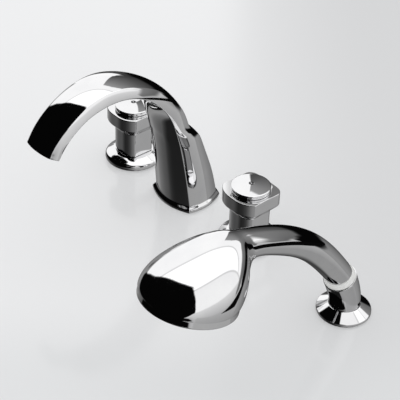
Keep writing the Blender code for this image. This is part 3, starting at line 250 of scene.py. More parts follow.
# Light tent: directions are in degrees, with azimuth 0 straight forward and 90 to the right
FULL_TURN = 360
HALF_TURN = 180
QUARTER_TURN = 90
TENT_RADIUS = 12.0
TENT_COLUMNS = 360
TENT_ROWS = 180
TENT_HORIZON = 7.0
TENT_SOFTNESS = 3.0
TENT_STRENGTH = 1.2
DISPLAY_GAMMA = 2.2
DOME_TONE = 1.0
SEAM_TONE = 0.74
SEAM_HALF_WIDTH = 0.022
# The tone of the mirrored floor at each azimuth
TENT_FLOOR_TONES = (
    (0, 0.17), (20, 0.24), (35, 0.34), (50, 0.48), (65, 0.54), (90, 0.56), (160, 0.53), (190, 0.42),
    (222, 0.22), (235, 0.28), (245, 0.48), (268, 0.52), (280, 0.42), (300, 0.33), (312, 0.29),
    (325, 0.22), (340, 0.15), (360, 0.17),
)

# Seams of the white dome: the plane that each lies in, as its normal and its distance from the
# middle in shares of the radius, and the tone of the panel behind it
TENT_SEAM_SHARES = (
    ((0.567, -0.695, 0.442), 0.00, 0.94),
    ((-0.820, 0.560, 0.120), -0.04, 0.91),
)

# Each row of a card is an azimuth with the lowest and the highest elevation there
FRONT_FLAG = (
    (-92, -2, 4), (-88, -4, 12), (-85, -6, 20), (-82, -8, 26), (-79, -9, 32), (-76, -10, 40),
    (-73, -10, 46), (-70, -11, 51), (-67, -11, 55), (-62, -12, 60.5), (-57, -13, 65),
    (-50, -14, 70), (-42, -16, 73.5), (-30, -18, 77), (-16, -20, 79), (0, -22, 78.7), (14, -20, 78),
    (28, -16, 75.5), (41, -12, 72), (49, -9, 67.5), (54, -8, 62.5), (58, -8, 52), (60, -8, 44),
    (61, -8, 25), (61.5, -8, 25),
)
LOW_FRONT_CARD = (
    (-100, -90, -75), (-80, -90, -64), (-60, -90, -54), (-40, -90, -47), (-20, -90, -42),
    (0, -90, -42), (20, -90, -44), (40, -90, -52), (60, -90, -75),
)
UPPER_RIGHT_CARD = (
    (42, 6, 8), (46, 6, 14), (50, 4, 20), (55, -6, 27), (60, -25, 31), (80, -25, 33), (95, -25, 31),
    (110, -25, 25), (125, -25, 17), (140, -20, 9), (150, -12, 0),
)
LOWER_RIGHT_CARD = (
    (62, -40, 0), (66, -40, 6), (85, -40, 0), (105, -40, -5), (135, -40, -12), (150, -40, -20),
)
REAR_CARD = (
    (136, -6, 0), (143, -6, 9), (150, 0, 18), (157, 2, 24), (167, 2, 30), (177, 4, 30),
    (185, 6, 36), (190, 8, 42),
)
REAR_LEFT_CARD = (
    (190, 4, 42), (198, 4, 49), (207, 4, 53), (218, 4, 53), (226, 10, 52), (226.5, 10, 52),
)
REAR_FLAG = (
    (149, -17, -4), (153, -18, -1), (162, -15, 4), (170, -13, 5), (178, -11, 8), (188, -10, 9),
    (200, -13, 8), (208, -20, 5), (214, -25, 4), (222, -26, 0), (228, -28, -10), (231, -26, -20),
)
TABLE_EDGE_CARD = (
    (226, 2, 15), (231, -2, 14), (240, -2, 12), (252, 2, 8),
)
# Each card's outline, its tones at the lower and the upper edge, and how soft its edges are
TENT_CARDS = (
    (FRONT_FLAG, 0.05, 0.05, 1.2),
    (LOW_FRONT_CARD, 0.10, 0.14, 8.0),
    (UPPER_RIGHT_CARD, 0.60, 0.80, 4.0),
    (LOWER_RIGHT_CARD, 0.56, 0.64, 5.0),
    (REAR_CARD, 0.36, 0.48, 4.0),
    (REAR_LEFT_CARD, 0.22, 0.56, 1.5),
    (REAR_FLAG, 0.05, 0.05, 4.0),
    (TABLE_EDGE_CARD, 0.95, 0.95, 2.0),
)

# A dark card under the floor at rear right, where the table ends, as (x, y) corners
DARK_CARD_CORNERS = (
    (0.43, 0.02), (0.43, 0.34), (0.36, 0.42), (0.20, 0.44), (0.20, 0.62), (0.62, 0.62),
    (0.80, 0.36), (0.80, 0.02),
)
DARK_CARD_TONE = 0.06

# Floor, a little below the frame's lowest point, with a painted shade that falls towards right and near
FLOOR_SIZE = 6.0
FLOOR_SQUARES = 8
FLOOR_GAP = 0.0002
FLOOR_PALE = (0.775, 0.78, 0.785)
# Painted light: the floor glows a little to lift its soft shadows, its lit colour darkened to make room
FLOOR_PAINTED_GLOW = 0.5
FLOOR_LIT_SHARE = (0.55, 0.55, 0.55, 1)
FLOOR_ROUGHNESS_FROM = 0.12
FLOOR_ROUGHNESS_TO = 0.144
FLOOR_GRAIN = 900.0

# Each fall of the floor's painted shade: its axis, where it starts and ends, and the colour at its end
FLOOR_PAINTED_SHADE_FALLS = (("X", 0.02, 0.26, (0.675, 0.68, 0.685)), ("Y", -0.16, -0.29, (0.71, 0.72, 0.725)))

# Camera, with its direction from the front towards the right, and its aim on the deck
CAMERA_TURN = math.radians(48.48)
CAMERA_RISE = math.radians(36.35)
CAMERA_ROLL = math.radians(2.24)
CAMERA_AIM = (0.01764, 0.00588, 0)
CAMERA_DISTANCE = 1.34549
CAMERA_LENS = 113.84
CAMERA_SENSOR = 36.0
ROOM_TONE = (0.97, 0.97, 0.98, 1)

# Each finish: its name, its darker and lighter colour, its lowest and highest roughness, how
# metallic it is, the scale of its noise and the height of its relief
FINISHES = {
    "chrome": ("polished_chrome", (0.86, 0.86, 0.87), (0.90, 0.90, 0.905), (0.02, 0.04), 1, 60, 0),
    "brass": ("machined_brass", (0.60, 0.43, 0.18), (0.76, 0.58, 0.28), (0.22, 0.38), 1, 700, 0.00002),
    "steel": ("plain_steel", (0.50, 0.50, 0.51), (0.66, 0.66, 0.67), (0.18, 0.34), 1, 900, 0.00001),
    "rubber": ("black_rubber", (0.012, 0.012, 0.013), (0.03, 0.03, 0.03), (0.5, 0.75), 0, 1200, 0.00002),
    "nylon": ("white_nylon", (0.80, 0.80, 0.78), (0.90, 0.90, 0.885), (0.28, 0.42), 0, 500, 0.00001),
    "grey_plastic": ("grey_plastic", (0.20, 0.205, 0.21), (0.3, 0.305, 0.31), (0.35, 0.5), 0, 800, 0.00001),
}
NOISE_LOW_SHARE = 0.35
NOISE_HIGH_SHARE = 0.65
NOISE_DETAIL = 4.0
NYLON_SCATTER_SHARE = 0.25
NYLON_SCATTER_RADII = (0.003, 0.003, 0.003)

# Frames that lean with the dock and with the rim
DOCK_PLACE = Matrix.Translation((CRADLE_X, -DOCK_FORWARD, DOCK_HEIGHT))
DOCK_FRAME = DOCK_PLACE @ Matrix.Rotation(DOCK_TILT, 4, "X")
RIM_PLACE = Matrix.Translation((CRADLE_X, -SHOWER_REACH, SHOWER_RIM_HEIGHT))
RIM_FRAME = RIM_PLACE @ Matrix.Rotation(-RIM_TILT, 4, "X")


# Shapes


def bend(start, corner, end, u):
    """A point, or one measure of it, a share u along the curve that eases a corner."""
    return start * (1 - u) ** 2 + corner * (2 * u * (1 - u)) + end * u**2


def eased(points, ease, steps=CORNER_STEPS):
    """An open outline with each inner corner eased by up to the given distance."""
    spots = [Vector(point) for point in points]
    result = [tuple(spots[0])]
    for before, corner, after in zip(spots, spots[1:], spots[2:]):
        reach_in = min(ease, (before - corner).length / 2)
        reach_out = min(ease, (after - corner).length / 2)
        start = corner + (before - corner).normalized() * reach_in
        end = corner + (after - corner).normalized() * reach_out
        for step in range(steps + 1):
            result.append(tuple(bend(start, corner, end, step / steps)))
    result.append(tuple(spots[-1]))
    return result


def eased_loop(points, ease=EDGE_EASE):
    """A closed outline with each corner but the first one eased."""
    return eased([*points, points[0]], ease)[:-1]


def carried_on(rows):
    """The rows with one more at each end, carried on straight."""
    first = [2 * a - b for a, b in zip(rows[0], rows[1])]
    last = [2 * a - b for a, b in zip(rows[-1], rows[-2])]
    return [first, *rows, last]


def fair_rows(rows, steps):
    """Rows of numbers on a cubic curve without any sudden change of bend, close to every row."""
    padded = carried_on(rows)
    controls = []
    for before, here, after in zip(padded, padded[1:], padded[2:]):
        controls.append([h + (h - (b + 4 * h + a) / 6) for b, h, a in zip(before, here, after)])
    padded = carried_on(controls)
    result = []
    for place in range(len(rows) - 1):
        for step in range(steps):
            result.append(curve_row(padded[place : place + 4], step / steps))
    result.append(list(rows[-1]))
    return result


def curve_row(four, u):
    """One row on the cubic curve that four control rows shape, a share u along its span."""
    weights = (
        (1 - u) ** 3 / 6,
        (3 * u**3 - 6 * u**2 + 4) / 6,
        (-3 * u**3 + 3 * u**2 + 3 * u + 1) / 6,
        u**3 / 6,
    )
    return [sum(weight * value for weight, value in zip(weights, column)) for column in zip(*four)]


def spread_along(line, count, trim):
    """Evenly spaced points along a line of points, leaving a trim at both ends."""
    lengths = [0.0]
    for start, end in zip(line, line[1:]):
        lengths.append(lengths[-1] + (end - start).length)
    usable = lengths[-1] - 2 * trim
    result = []
    place = 0
    for step in range(count):
        target = trim + usable * step / (count - 1)
        while place < len(line) - 2 and lengths[place + 1] < target:
            place += 1
        span = lengths[place + 1] - lengths[place]
        share = (target - lengths[place]) / span if span else 0
        result.append(line[place].lerp(line[place + 1], share))
    return result


def ring_of_sides(sides, counts, ease):
    """One closed ring of points along sides that meet at crisp corners, each corner eased."""
    trimmed = [spread_along(side, count, ease) for side, count in zip(sides, counts)]
    ring = []
    for place, points in enumerate(trimmed):
        following = trimmed[(place + 1) % len(trimmed)]
        corner = sides[place][-1]
        ring += points
        for step in range(1, CORNER_STEPS):
            ring.append(bend(points[-1], corner, following[0], step / CORNER_STEPS))
    return ring


def bowed_side(start, end, outward, bow, points=SIDE_LINE_POINTS):
    """A line of points between two corners that bows outwards."""
    side = []
    for step in range(points):
        share = step / (points - 1)
        side.append(start.lerp(end, share) + outward * (bow * 4 * share * (1 - share)))
    return side


def object_from(shape, name):
    """A new smooth object from a mesh that was being made."""
    bmesh.ops.recalc_face_normals(shape, faces=shape.faces)
    mesh = bpy.data.meshes.new(name)
    shape.to_mesh(mesh)
    shape.free()
    mesh.shade_smooth()
    mesh.set_sharp_from_angle(angle=SHARP_ANGLE)
    thing = bpy.data.objects.new(name, mesh)
    scene.collection.objects.link(thing)
    return thing


def bridge(shape, rows):
    """Faces from each closed row of points to the next."""
    for lower, upper in zip(rows, rows[1:]):
        for place in range(len(lower)):
            after = (place + 1) % len(lower)
            shape.faces.new((lower[place], lower[after], upper[after], upper[place]))


def skin(name, rings):
    """A closed shape skinned over rings of points that all run the same way round."""
    shape = bmesh.new()
    rows = [[shape.verts.new(point) for point in ring] for ring in rings]
    bridge(shape, rows)
    shape.faces.new(list(reversed(rows[0])))
    shape.faces.new(rows[-1])
    return object_from(shape, name)


def turned(name, outline, place, steps=TURN_STEPS):
    """Turn an outline of (radius, height) points round Z, left open where it starts on the axis."""
    shape = bmesh.new()
    rows = []
    for step in range(steps):
        angle = math.tau * step / steps
        row = []
        for radius, height in outline:
            row.append(shape.verts.new((radius * math.cos(angle), radius * math.sin(angle), height)))
        rows.append(row)
    spans = len(outline) if outline[0][0] else len(outline) - 1
    for step, row in enumerate(rows):
        following = rows[(step + 1) % steps]
        for low in range(spans):
            high = (low + 1) % len(outline)
            shape.faces.new((row[low], following[low], following[high], row[high]))
    bmesh.ops.remove_doubles(shape, verts=shape.verts, dist=MERGE_DISTANCE)
    return placed(object_from(shape, name), place)


def rod(name, radius, bottom, top, place, steps=SMALL_TURN_STEPS):
    """A plain round rod between two heights."""
    return turned(name, [(0, top), (radius, top), (radius, bottom), (0, bottom)], place, steps)


def cut(thing, cutter, operation="DIFFERENCE"):
    """Cut one shape with another, or join the two, and hide the other."""
    cutter.hide_render = True
    cutter.hide_viewport = True
    cutter.display_type = "WIRE"
    boolean = thing.modifiers.new(cutter.name, "BOOLEAN")
    boolean.operation = operation
    boolean.solver = "EXACT"
    boolean.object = cutter


def pipe(name, line, radii, steps):
    """A round bar along a line of (forward, up) points, with a radius at each."""
    places = [Vector((0, -forward, up)) for forward, up in line]
    rings = []
    for place, centre in enumerate(places):
        along = places[min(place + 1, len(places) - 1)] - places[max(place - 1, 0)]
        across = Vector((0, along.z, -along.y)).normalized()
        ring = []
        for step in range(steps):
            angle = math.tau * step / steps
            side = Vector((radii[place] * math.cos(angle), 0, 0))
            ring.append(centre + side + across * (radii[place] * math.sin(angle)))
        rings.append(ring)
    return skin(name, rings)


def placed(thing, place):
    """Move a shape's own points to where it belongs, so that its object keeps no lean."""
    thing.data.transform(place)
    return thing


def settle(thing, body, slot, *stands_for):
    """Give a fine piece its material and its body, and hide the frame's parts it stands for."""
    weighted = thing.modifiers.new("weighted_normals", "WEIGHTED_NORMAL")
    weighted.keep_sharp = True
    thing.data.materials.append(MATERIALS[slot])
    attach(thing, body)
    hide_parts(*stands_for)


# Materials


def feed(source, target):
    """Link one node's output to another's input."""
    target.id_data.links.new(source, target)


def new_material(name):
    """A material with its shader, and a noise that lies still on the piece."""
    material = bpy.data.materials.new(name)
    material.use_nodes = True
    nodes = material.node_tree.nodes
    shader = nodes["Principled BSDF"]
    spots = nodes.new("ShaderNodeTexCoord")
    noise = nodes.new("ShaderNodeTexNoise")
    feed(spots.outputs["Object"], noise.inputs["Vector"])
    return material, shader, noise


def between(material, source, low, high, target):
    """Feed a socket with a noise that is spread between two values."""
    spread = material.node_tree.nodes.new("ShaderNodeMapRange")
    spread.inputs["From Min"].default_value = NOISE_LOW_SHARE
    spread.inputs["From Max"].default_value = NOISE_HIGH_SHARE
    spread.inputs["To Min"].default_value = low
    spread.inputs["To Max"].default_value = high
    feed(source, spread.inputs["Value"])
    feed(spread.outputs["Result"], target)


def tinted(material, source, dark, light, target):
    """Feed a colour socket with a noise that is spread between two colours."""
    ramp = material.node_tree.nodes.new("ShaderNodeValToRGB")
    stops = ((NOISE_LOW_SHARE, dark), (NOISE_HIGH_SHARE, light))
    for stop, (position, colour) in zip(ramp.color_ramp.elements, stops):
        stop.position = position
        stop.color = (*colour, 1)
    feed(source, ramp.inputs["Fac"])
    feed(ramp.outputs["Color"], target)


def bumped(material, source, shader, depth):
    """Raise the surface a little with a noise."""
    bump = material.node_tree.nodes.new("ShaderNodeBump")
    bump.inputs["Strength"].default_value = 1.0
    bump.inputs["Distance"].default_value = depth
    feed(source, bump.inputs["Height"])
    feed(bump.outputs["Normal"], shader.inputs["Normal"])


def surface(name, dark, light, roughness, metallic, scale, relief):
    """A material whose colour, gloss and height all drift with one noise."""
    material, shader, noise = new_material(name)
    noise.inputs["Scale"].default_value = scale
    noise.inputs["Detail"].default_value = NOISE_DETAIL
    shader.inputs["Metallic"].default_value = metallic
    tinted(material, noise.outputs["Fac"], dark, light, shader.inputs["Base Color"])
    between(material, noise.outputs["Fac"], *roughness, shader.inputs["Roughness"])
    if relief:
        bumped(material, noise.outputs["Fac"], shader, relief)
    return material


def soften_nylon():
    """Let some light into the milky nylon."""
    shader = MATERIALS["nylon"].node_tree.nodes["Principled BSDF"]
    shader.inputs["Subsurface Weight"].default_value = NYLON_SCATTER_SHARE
    shader.inputs["Subsurface Radius"].default_value = NYLON_SCATTER_RADII


MATERIALS = {finish: surface(*row) for finish, row in FINISHES.items()}


def dress_frame():
    """Give every part of the frame that still shows the material of its own finish."""
    finish_of = {row["node"]: row["material_slot"] for row in frame["record"]["subparts"]}
    for name, node in frame["nodes"].items():
        node.data.materials.clear()
        node.data.materials.append(MATERIALS[finish_of[name]])


# Spout


def spout_stations():
    """Edges, half widths, crowns and side bow at every fine station, in metres."""
    edge = (-SPOUT_REACH, SPOUT_RISE)
    crowns = (SPOUT_FRONT_CROWN, SPOUT_BACK_CROWN, SPOUT_SIDE_BOW)
    sizes = (*edge, *edge, SPOUT_HALF_WIDTH, SPOUT_HALF_WIDTH, *crowns)
    rows = [[share * size for share, size in zip(row, sizes)] for row in SPOUT_STATION_SHARES]
    return fair_rows(rows, STATION_STEPS)


def edges_of(station):
    """The middles of a section's lower and upper edge, and the direction from one to the other."""
    low = Vector((0, *station[0:2]))
    high = Vector((0, *station[2:4]))
    return low, high, (high - low).normalized()


def spout_ring(station):
    """Front crown, right side, back crown and left side of one section, with eased corners."""
    low, high, through = edges_of(station)
    low_width, high_width, front, back, bow = station[4:]
    across = Vector((1, 0, 0))
    low_left = low - across * low_width
    low_right = low + across * low_width
    high_left = high - across * high_width
    high_right = high + across * high_width
    sides = [
        bowed_side(low_left, low_right, -through, front),
        bowed_side(low_right, high_right, across, bow),
        bowed_side(high_right, high_left, through, back),
        bowed_side(high_left, low_left, -across, bow),
    ]
    counts = [SPOUT_CROWN_POINTS, SPOUT_SIDE_POINTS, SPOUT_CROWN_POINTS, SPOUT_SIDE_POINTS]
    return ring_of_sides(sides, counts, SPOUT_CORNER_EASE)


def foot_station(first, height, flare):
    """The foot's station moved to a height, and spread outwards all round."""
    low_y, _, high_y, _, low_width, high_width, *bows = first
    return (low_y - flare, height, high_y + flare, height, low_width + flare, high_width + flare, *bows)


def middle_of(station):
    """The middle of a section's solid, and the direction through it."""
    low, high, through = edges_of(station)
    front, back = station[6:8]
    return low.lerp(high, MIDDLE_SHARE) + through * ((back - front) / 2), through


def slot_ring(centre, across):
    """A slot-shaped ring: straight long sides with half-round ends."""
    ring = []
    straight = MOUTH_HALF_WIDTH - MOUTH_HALF_HEIGHT
    for place in range(SMALL_TURN_STEPS):
        angle = math.tau * (place + MIDDLE_SHARE) / SMALL_TURN_STEPS
        side = math.copysign(straight, math.cos(angle)) + MOUTH_HALF_HEIGHT * math.cos(angle)
        ring.append(centre + Vector((side, 0, 0)) + across * (MOUTH_HALF_HEIGHT * math.sin(angle)))
    return ring


def make_spout():
    """The cast spout with its mouth, its post's pocket and its set screw's hole."""
    stations = spout_stations()
    skirt = []
    for up, out in fair_rows(SKIRT_SHARES, STATION_STEPS)[:-1]:
        skirt.append(foot_station(stations[0], FOOT + up * SKIRT_HEIGHT, max(out, 0) * SKIRT_FLARE))
    rings = [spout_ring(row) for row in skirt + stations]
    tip, through = middle_of(stations[-1])
    outward = Vector((0, -through.z, through.y))
    if outward.dot(tip - middle_of(stations[-2])[0]) < 0:
        outward = -outward
    end_ring = rings.pop()
    for step in range(CORNER_STEPS + 1):
        turn = math.pi / 2 * step / CORNER_STEPS
        inwards = EDGE_EASE * (1 - math.cos(turn))
        back = EDGE_EASE * (1 - math.sin(turn))
        rings.append([spot + (tip - spot).normalized() * inwards - outward * back for spot in end_ring])
    body = skin("spout_casting", rings)
    pocket_radius = POST_RADIUS + FACE_GAP
    pocket_top = POST_HEIGHT + 2 * FACE_GAP
    cut(body, rod("pocket_cutter", pocket_radius, -CUT_OVERRUN, pocket_top, Matrix()))
    mouth = [slot_ring(tip + outward * reach, through) for reach in (-MOUTH_DEPTH, CUT_OVERRUN)]
    cut(body, skin("mouth_cutter", mouth))
    to_the_back = Matrix.Translation((0, 0, SET_SCREW_HEIGHT)) @ Matrix.Rotation(-math.pi / 2, 4, "X")
    hole_radius = SET_SCREW_RADIUS + FACE_GAP
    cut(body, rod("screw_hole_cutter", hole_radius, 0, SET_SCREW_HOLE_END, to_the_back))
    settle(body, "deck_set", "chrome", "spout_body")


# Handles


def handle_ring(half_width, height):
    """The handle's plan at one height: a bowed front and one smooth run round the back."""
    corners = [Vector((x * half_width, y * half_width, height)) for x, y, bow in HANDLE_CORNER_SHARES]
    coarse = []
    for side, corner in enumerate(corners):
        following = corners[(side + 1) % len(corners)]
        run = following - corner
        outward = Vector((run.y, -run.x, 0)).normalized()
        bow = HANDLE_CORNER_SHARES[side][2] * half_width
        coarse += bowed_side(corner, following, outward, bow, HANDLE_SIDE_STEPS + 1)[:-1]
    coarse.append(corners[0])
    front_from = HANDLE_BACK_SIDES * HANDLE_SIDE_STEPS
    back = [Vector(row) for row in fair_rows(coarse[: front_from + 1], STATION_STEPS)]
    front = [Vector(row) for row in fair_rows(coarse[front_from:], STATION_STEPS)]
    return ring_of_sides([back, front], [HANDLE_BACK_POINTS, HANDLE_FRONT_POINTS], HANDLE_CORNER_EASE)


def make_escutcheon(label, place):
    """The rounded cover plate, a thin shell with a bore."""
    wide = ESCUTCHEON_RADIUS
    height = ESCUTCHEON_HEIGHT - FOOT
    rows = fair_rows(ESCUTCHEON_SHARES, STATION_STEPS)
    outside = [(min(share_out, 1) * wide, FOOT + share_up * height) for share_out, share_up in rows]
    inner = wide - ESCUTCHEON_WALL
    under = ESCUTCHEON_HEIGHT - ESCUTCHEON_WALL
    foot_share, top_share = ESCUTCHEON_INNER_SHARES
    inside = [(foot_share * inner, FOOT), (top_share * inner, under), (ESCUTCHEON_BORE, under)]
    bore = eased([(ESCUTCHEON_BORE, under), (ESCUTCHEON_BORE, ESCUTCHEON_HEIGHT), outside[0]], EDGE_EASE)
    piece = turned(label + "_escutcheon_shell", bore[:-1] + outside + inside[:-1], place)
    settle(piece, "deck_set", "chrome", label + "_escutcheon")


def make_handle_casting(label, place):
    """The knob's cushion-shaped column and head, bored from below and recessed for its cap."""
    bottom = ESCUTCHEON_HEIGHT + RUNNING_GAP
    outline = [
        (COLUMN_HALF_WIDTH - EDGE_EASE, bottom), (COLUMN_HALF_WIDTH, bottom + EDGE_EASE),
        (COLUMN_HALF_WIDTH, COLUMN_TOP), (HEAD_HALF_WIDTH, HEAD_TAPER_TOP),
        (HEAD_HALF_WIDTH, HEAD_TOP - HEAD_EDGE), (HEAD_HALF_WIDTH - HEAD_EDGE, HEAD_TOP),
    ]
    fine = eased(outline, HANDLE_BEND_EASE)
    rings = [handle_ring(width, height) for width, height in fine]
    body = placed(skin(label + "_handle_casting", rings), place)
    collar_bottom = bottom - COLLAR_DEPTH
    collar = rod(label + "_collar", COLLAR_RADIUS, collar_bottom, bottom + COLLAR_DEPTH, place)
    cut(body, collar, "UNION")
    recess_radius = CAP_SPIGOT_RADIUS + FACE_GAP
    hollow = [
        (0, HEAD_TOP + CUT_OVERRUN), (recess_radius, HEAD_TOP + CUT_OVERRUN),
        (recess_radius, WEB_TOP), (SCREW_RADIUS + FACE_GAP, WEB_TOP),
        (SCREW_RADIUS + FACE_GAP, WEB_BOTTOM), (HUB_BORE, WEB_BOTTOM), (HUB_BORE, HUB_BOTTOM),
        (HANDLE_BORE, HUB_BOTTOM), (HANDLE_BORE, collar_bottom - CUT_OVERRUN),
        (0, collar_bottom - CUT_OVERRUN),
    ]
    cut(body, turned(label + "_hollow_cutter", hollow, place, SMALL_TURN_STEPS))
    settle(body, label + "_handle", "chrome", label + "_handle_body")


def cap_outline():
    """The cap from its crown, down its grooved wall and its spigot, and back inside."""
    wall_bottom = HEAD_TOP + FACE_GAP
    wall_top = wall_bottom + CAP_WALL_HEIGHT
    recess_floor = wall_top + CAP_RISE - INDEX_DEPTH
    spigot_bottom = wall_bottom - CAP_SPIGOT_DEPTH
    spigot_inner = CAP_SPIGOT_RADIUS - CAP_SPIGOT_WALL
    recess_outer = INDEX_RADIUS + FACE_GAP
    pitch = CAP_WALL_HEIGHT / (CAP_GROOVES + 1)
    crown_edge = CAP_RADIUS - CAP_SHOULDER
    outline = [(0, recess_floor), (recess_outer, recess_floor)]
    for step in range(CAP_CROWN_STEPS + 1):
        radius = recess_outer + (crown_edge - recess_outer) * step / CAP_CROWN_STEPS
        out = radius / CAP_RADIUS
        fall = CAP_CONE_SHARE * out + (1 - CAP_CONE_SHARE) * out**2
        outline.append((radius, wall_top + CAP_RISE * (1 - fall)))
    outline.append((CAP_RADIUS - CAP_BEVEL, wall_top - CAP_BEVEL))
    outline.append((CAP_RADIUS, wall_top - EDGE_EASE))
    for groove in range(CAP_GROOVES):
        middle = wall_top - (groove + 1) * pitch
        for share, depth in CAP_GROOVE_SHARES:
            outline.append((CAP_RADIUS - depth * CAP_GROOVE_DEPTH, middle + share * pitch))
    outline += [(CAP_RADIUS, wall_bottom + EDGE_EASE), (CAP_RADIUS - EDGE_EASE, wall_bottom)]
    outline += [(CAP_SPIGOT_RADIUS - CAP_SHOULDER, wall_bottom)]
    outline += [(CAP_SPIGOT_RADIUS - CAP_SHOULDER, spigot_bottom), (spigot_inner, spigot_bottom)]
    outline += [(spigot_inner, wall_top - CAP_THICKNESS), (0, recess_floor - CAP_THICKNESS)]
    return outline


def make_cap(label, place):
    """The grooved cap with the dot and ring of its index mark."""
    cap = turned(label + "_handle_cap_shell", cap_outline(), place)
    settle(cap, label + "_handle", "chrome", label + "_handle_cap")
    apex = HEAD_TOP + FACE_GAP + CAP_WALL_HEIGHT + CAP_RISE
    bottom = apex - INDEX_DEPTH + FACE_GAP
    dome = [(0, apex + INDEX_STAND)]
    for step in range(1, INDEX_STEPS + 1):
        turn = math.pi / 2 * step / INDEX_STEPS
        rise = 2 * INDEX_STAND * math.cos(turn)
        dome.append((INDEX_DOT_RADIUS * math.sin(turn), apex - INDEX_STAND + rise))
    dome += [(INDEX_DOT_RADIUS, bottom), (0, bottom)]
    dot = turned(label + "_index_bead", dome, place, SMALL_TURN_STEPS)
    settle(dot, label + "_handle", "steel", label + "_index_dot")
    top = apex - INDEX_STAND
    inner = INDEX_DOT_RADIUS + FACE_GAP
    band = [(inner, bottom), (inner, top), (INDEX_RADIUS, top), (INDEX_RADIUS, bottom)]
    ring = turned(label + "_index_band", eased_loop(band, INDEX_EASE), place, SMALL_TURN_STEPS)
    settle(ring, label + "_handle", "rubber", label + "_index_ring")


# Cradle


def dock_point(along):
    """A point on the dock's axis, as forward and up distances from the cradle's foot."""
    return (DOCK_FORWARD + along * math.sin(DOCK_TILT), DOCK_HEIGHT + along * math.cos(DOCK_TILT))


def cradle_line(bottom):
    """The tube's middle line: it rises straight and then bends forward into the dock's axis."""
    meeting = DOCK_HEIGHT - DOCK_FORWARD / math.tan(DOCK_TILT)
    bend_from = (bottom + meeting) / 2
    line = [(0, bottom)]
    for step in range(CRADLE_BEND_STEPS + 1):
        u = step / CRADLE_BEND_STEPS
        line.append((bend(0, 0, DOCK_FORWARD, u), bend(bend_from, meeting, DOCK_HEIGHT, u)))
    return line


def make_cradle():
    """The bent stand with its socket, its flange and the nylon liner."""
    place = Matrix.Translation((CRADLE_X, 0, 0))
    line = cradle_line(FOOT)
    count = len(line)
    growth = (CRADLE_TOP_RADIUS - CRADLE_FOOT_RADIUS) / (count - 1)
    radii = [CRADLE_FOOT_RADIUS + growth * step for step in range(count)]
    stand = placed(pipe("cradle_stand", line, radii, TURN_STEPS), place)
    low_line = [(0, -CUT_OVERRUN)] + line[1:-1] + [dock_point(-SOCKET_DEPTH / 2)]
    bore = pipe("cradle_bore_cutter", low_line, [CRADLE_BORE] * len(low_line), SMALL_TURN_STEPS)
    cut(stand, placed(bore, place))
    cut(stand, rod("cradle_top_cutter", FLANGE_RADIUS, 0, FLANGE_RADIUS, DOCK_FRAME))
    cut(stand, rod("socket_cutter", SOCKET_RADIUS, -SOCKET_DEPTH, CUT_OVERRUN, DOCK_FRAME, TURN_STEPS))
    settle(stand, "deck_set", "chrome", "cradle_tube")

    bore_radius = radii[1] + FACE_GAP
    ceiling = FLANGE_HEIGHT - 2 * FLANGE_WALL
    flange = [
        (bore_radius, ceiling), (bore_radius, FLANGE_HEIGHT),
        (bore_radius + FACE_GAP, FLANGE_HEIGHT), (FLANGE_RADIUS, FOOT + FLANGE_RIM),
        (FLANGE_RADIUS, FOOT), (FLANGE_RADIUS - FLANGE_WALL, FOOT),
        (bore_radius + FLANGE_WALL, ceiling),
    ]
    cone = turned("cradle_flange_cone", eased_loop(flange), place)
    settle(cone, "deck_set", "chrome", "cradle_flange")

    skirt_outer = SOCKET_RADIUS - RUNNING_GAP
    skirt_bottom = -SOCKET_DEPTH + FACE_GAP
    collar_middle = (LINER_COLLAR_TOP_RADIUS + LINER_COLLAR_BASE_RADIUS) / 2 + FACE_GAP
    liner = [
        (LINER_BORE, skirt_bottom), (LINER_BORE, LINER_COLLAR),
        (LINER_COLLAR_TOP_RADIUS, LINER_COLLAR), (collar_middle, LINER_COLLAR / 2),
        (LINER_COLLAR_BASE_RADIUS, FACE_GAP), (skirt_outer, FACE_GAP),
        (skirt_outer, skirt_bottom),
    ]
    collar = turned("cradle_liner_collar", eased_loop(liner), DOCK_FRAME)
    settle(collar, "shower_liner", "nylon", "cradle_liner")


# Hand shower


def shower_point(forward_share, up_share):
    """A point in the hand shower's middle plane, from shares of its reach and crown height."""
    return Vector((0, -forward_share * SHOWER_REACH, up_share * SHOWER_CROWN_HEIGHT))


def rim_point(along_share):
    """A point on the rim's plane, as a share of its radius from the centre towards the heel."""
    along = along_share * RIM_RADIUS
    return Vector(
        (0, -SHOWER_REACH + along * math.cos(RIM_TILT), SHOWER_RIM_HEIGHT - along * math.sin(RIM_TILT))
    )


def shower_rows():
    """Top point, bottom point, half width, half chord, widest height and flatness of each section."""
    start = dock_point(LINER_COLLAR + FACE_GAP)
    line = [Vector((0, -start[0], start[1]))]
    line += [shower_point(*shares) for shares in GRIP_LINE_SHARES]
    neck_top = shower_point(*NECK_SHARES[0][0:2])
    neck_bottom = shower_point(*NECK_SHARES[0][2:4])
    ahead_of_last = neck_top.lerp(neck_bottom, MIDDLE_SHARE)
    rows = []
    for place, centre in enumerate(line):
        ahead = line[place + 1] if place + 1 < len(line) else ahead_of_last
        behind = line[place - 1] if place else centre
        along = (ahead - behind).normalized()
        if place == 0:
            along = Vector((0, -math.sin(DOCK_TILT), math.cos(DOCK_TILT)))
        over = Vector((0, along.z, -along.y))
        radius = GRIP_END_RADIUS if place == 0 else GRIP_RADIUS
        top = centre + over * radius
        bottom = centre - over * radius
        rows.append((*top.yz, *bottom.yz, radius, radius / 2, GRIP_WIDEST_SHARE, 0))
    for top_y, top_z, bottom_y, bottom_z, width, widest, flatness in NECK_SHARES:
        top = shower_point(top_y, top_z)
        bottom = shower_point(bottom_y, bottom_z)
        half = width * GRIP_RADIUS
        rows.append((*top.yz, *bottom.yz, half, half / 2, widest, flatness))
    for along, top_y, top_z, width, chord, widest in HEAD_SHARES:
        top = shower_point(top_y, top_z)
        bottom = rim_point(along)
        rows.append((*top.yz, *bottom.yz, width * RIM_RADIUS, chord * RIM_RADIUS, widest, 1.0))
    return [lifted_to_rim(row) for row in fair_rows(rows, STATION_STEPS)]


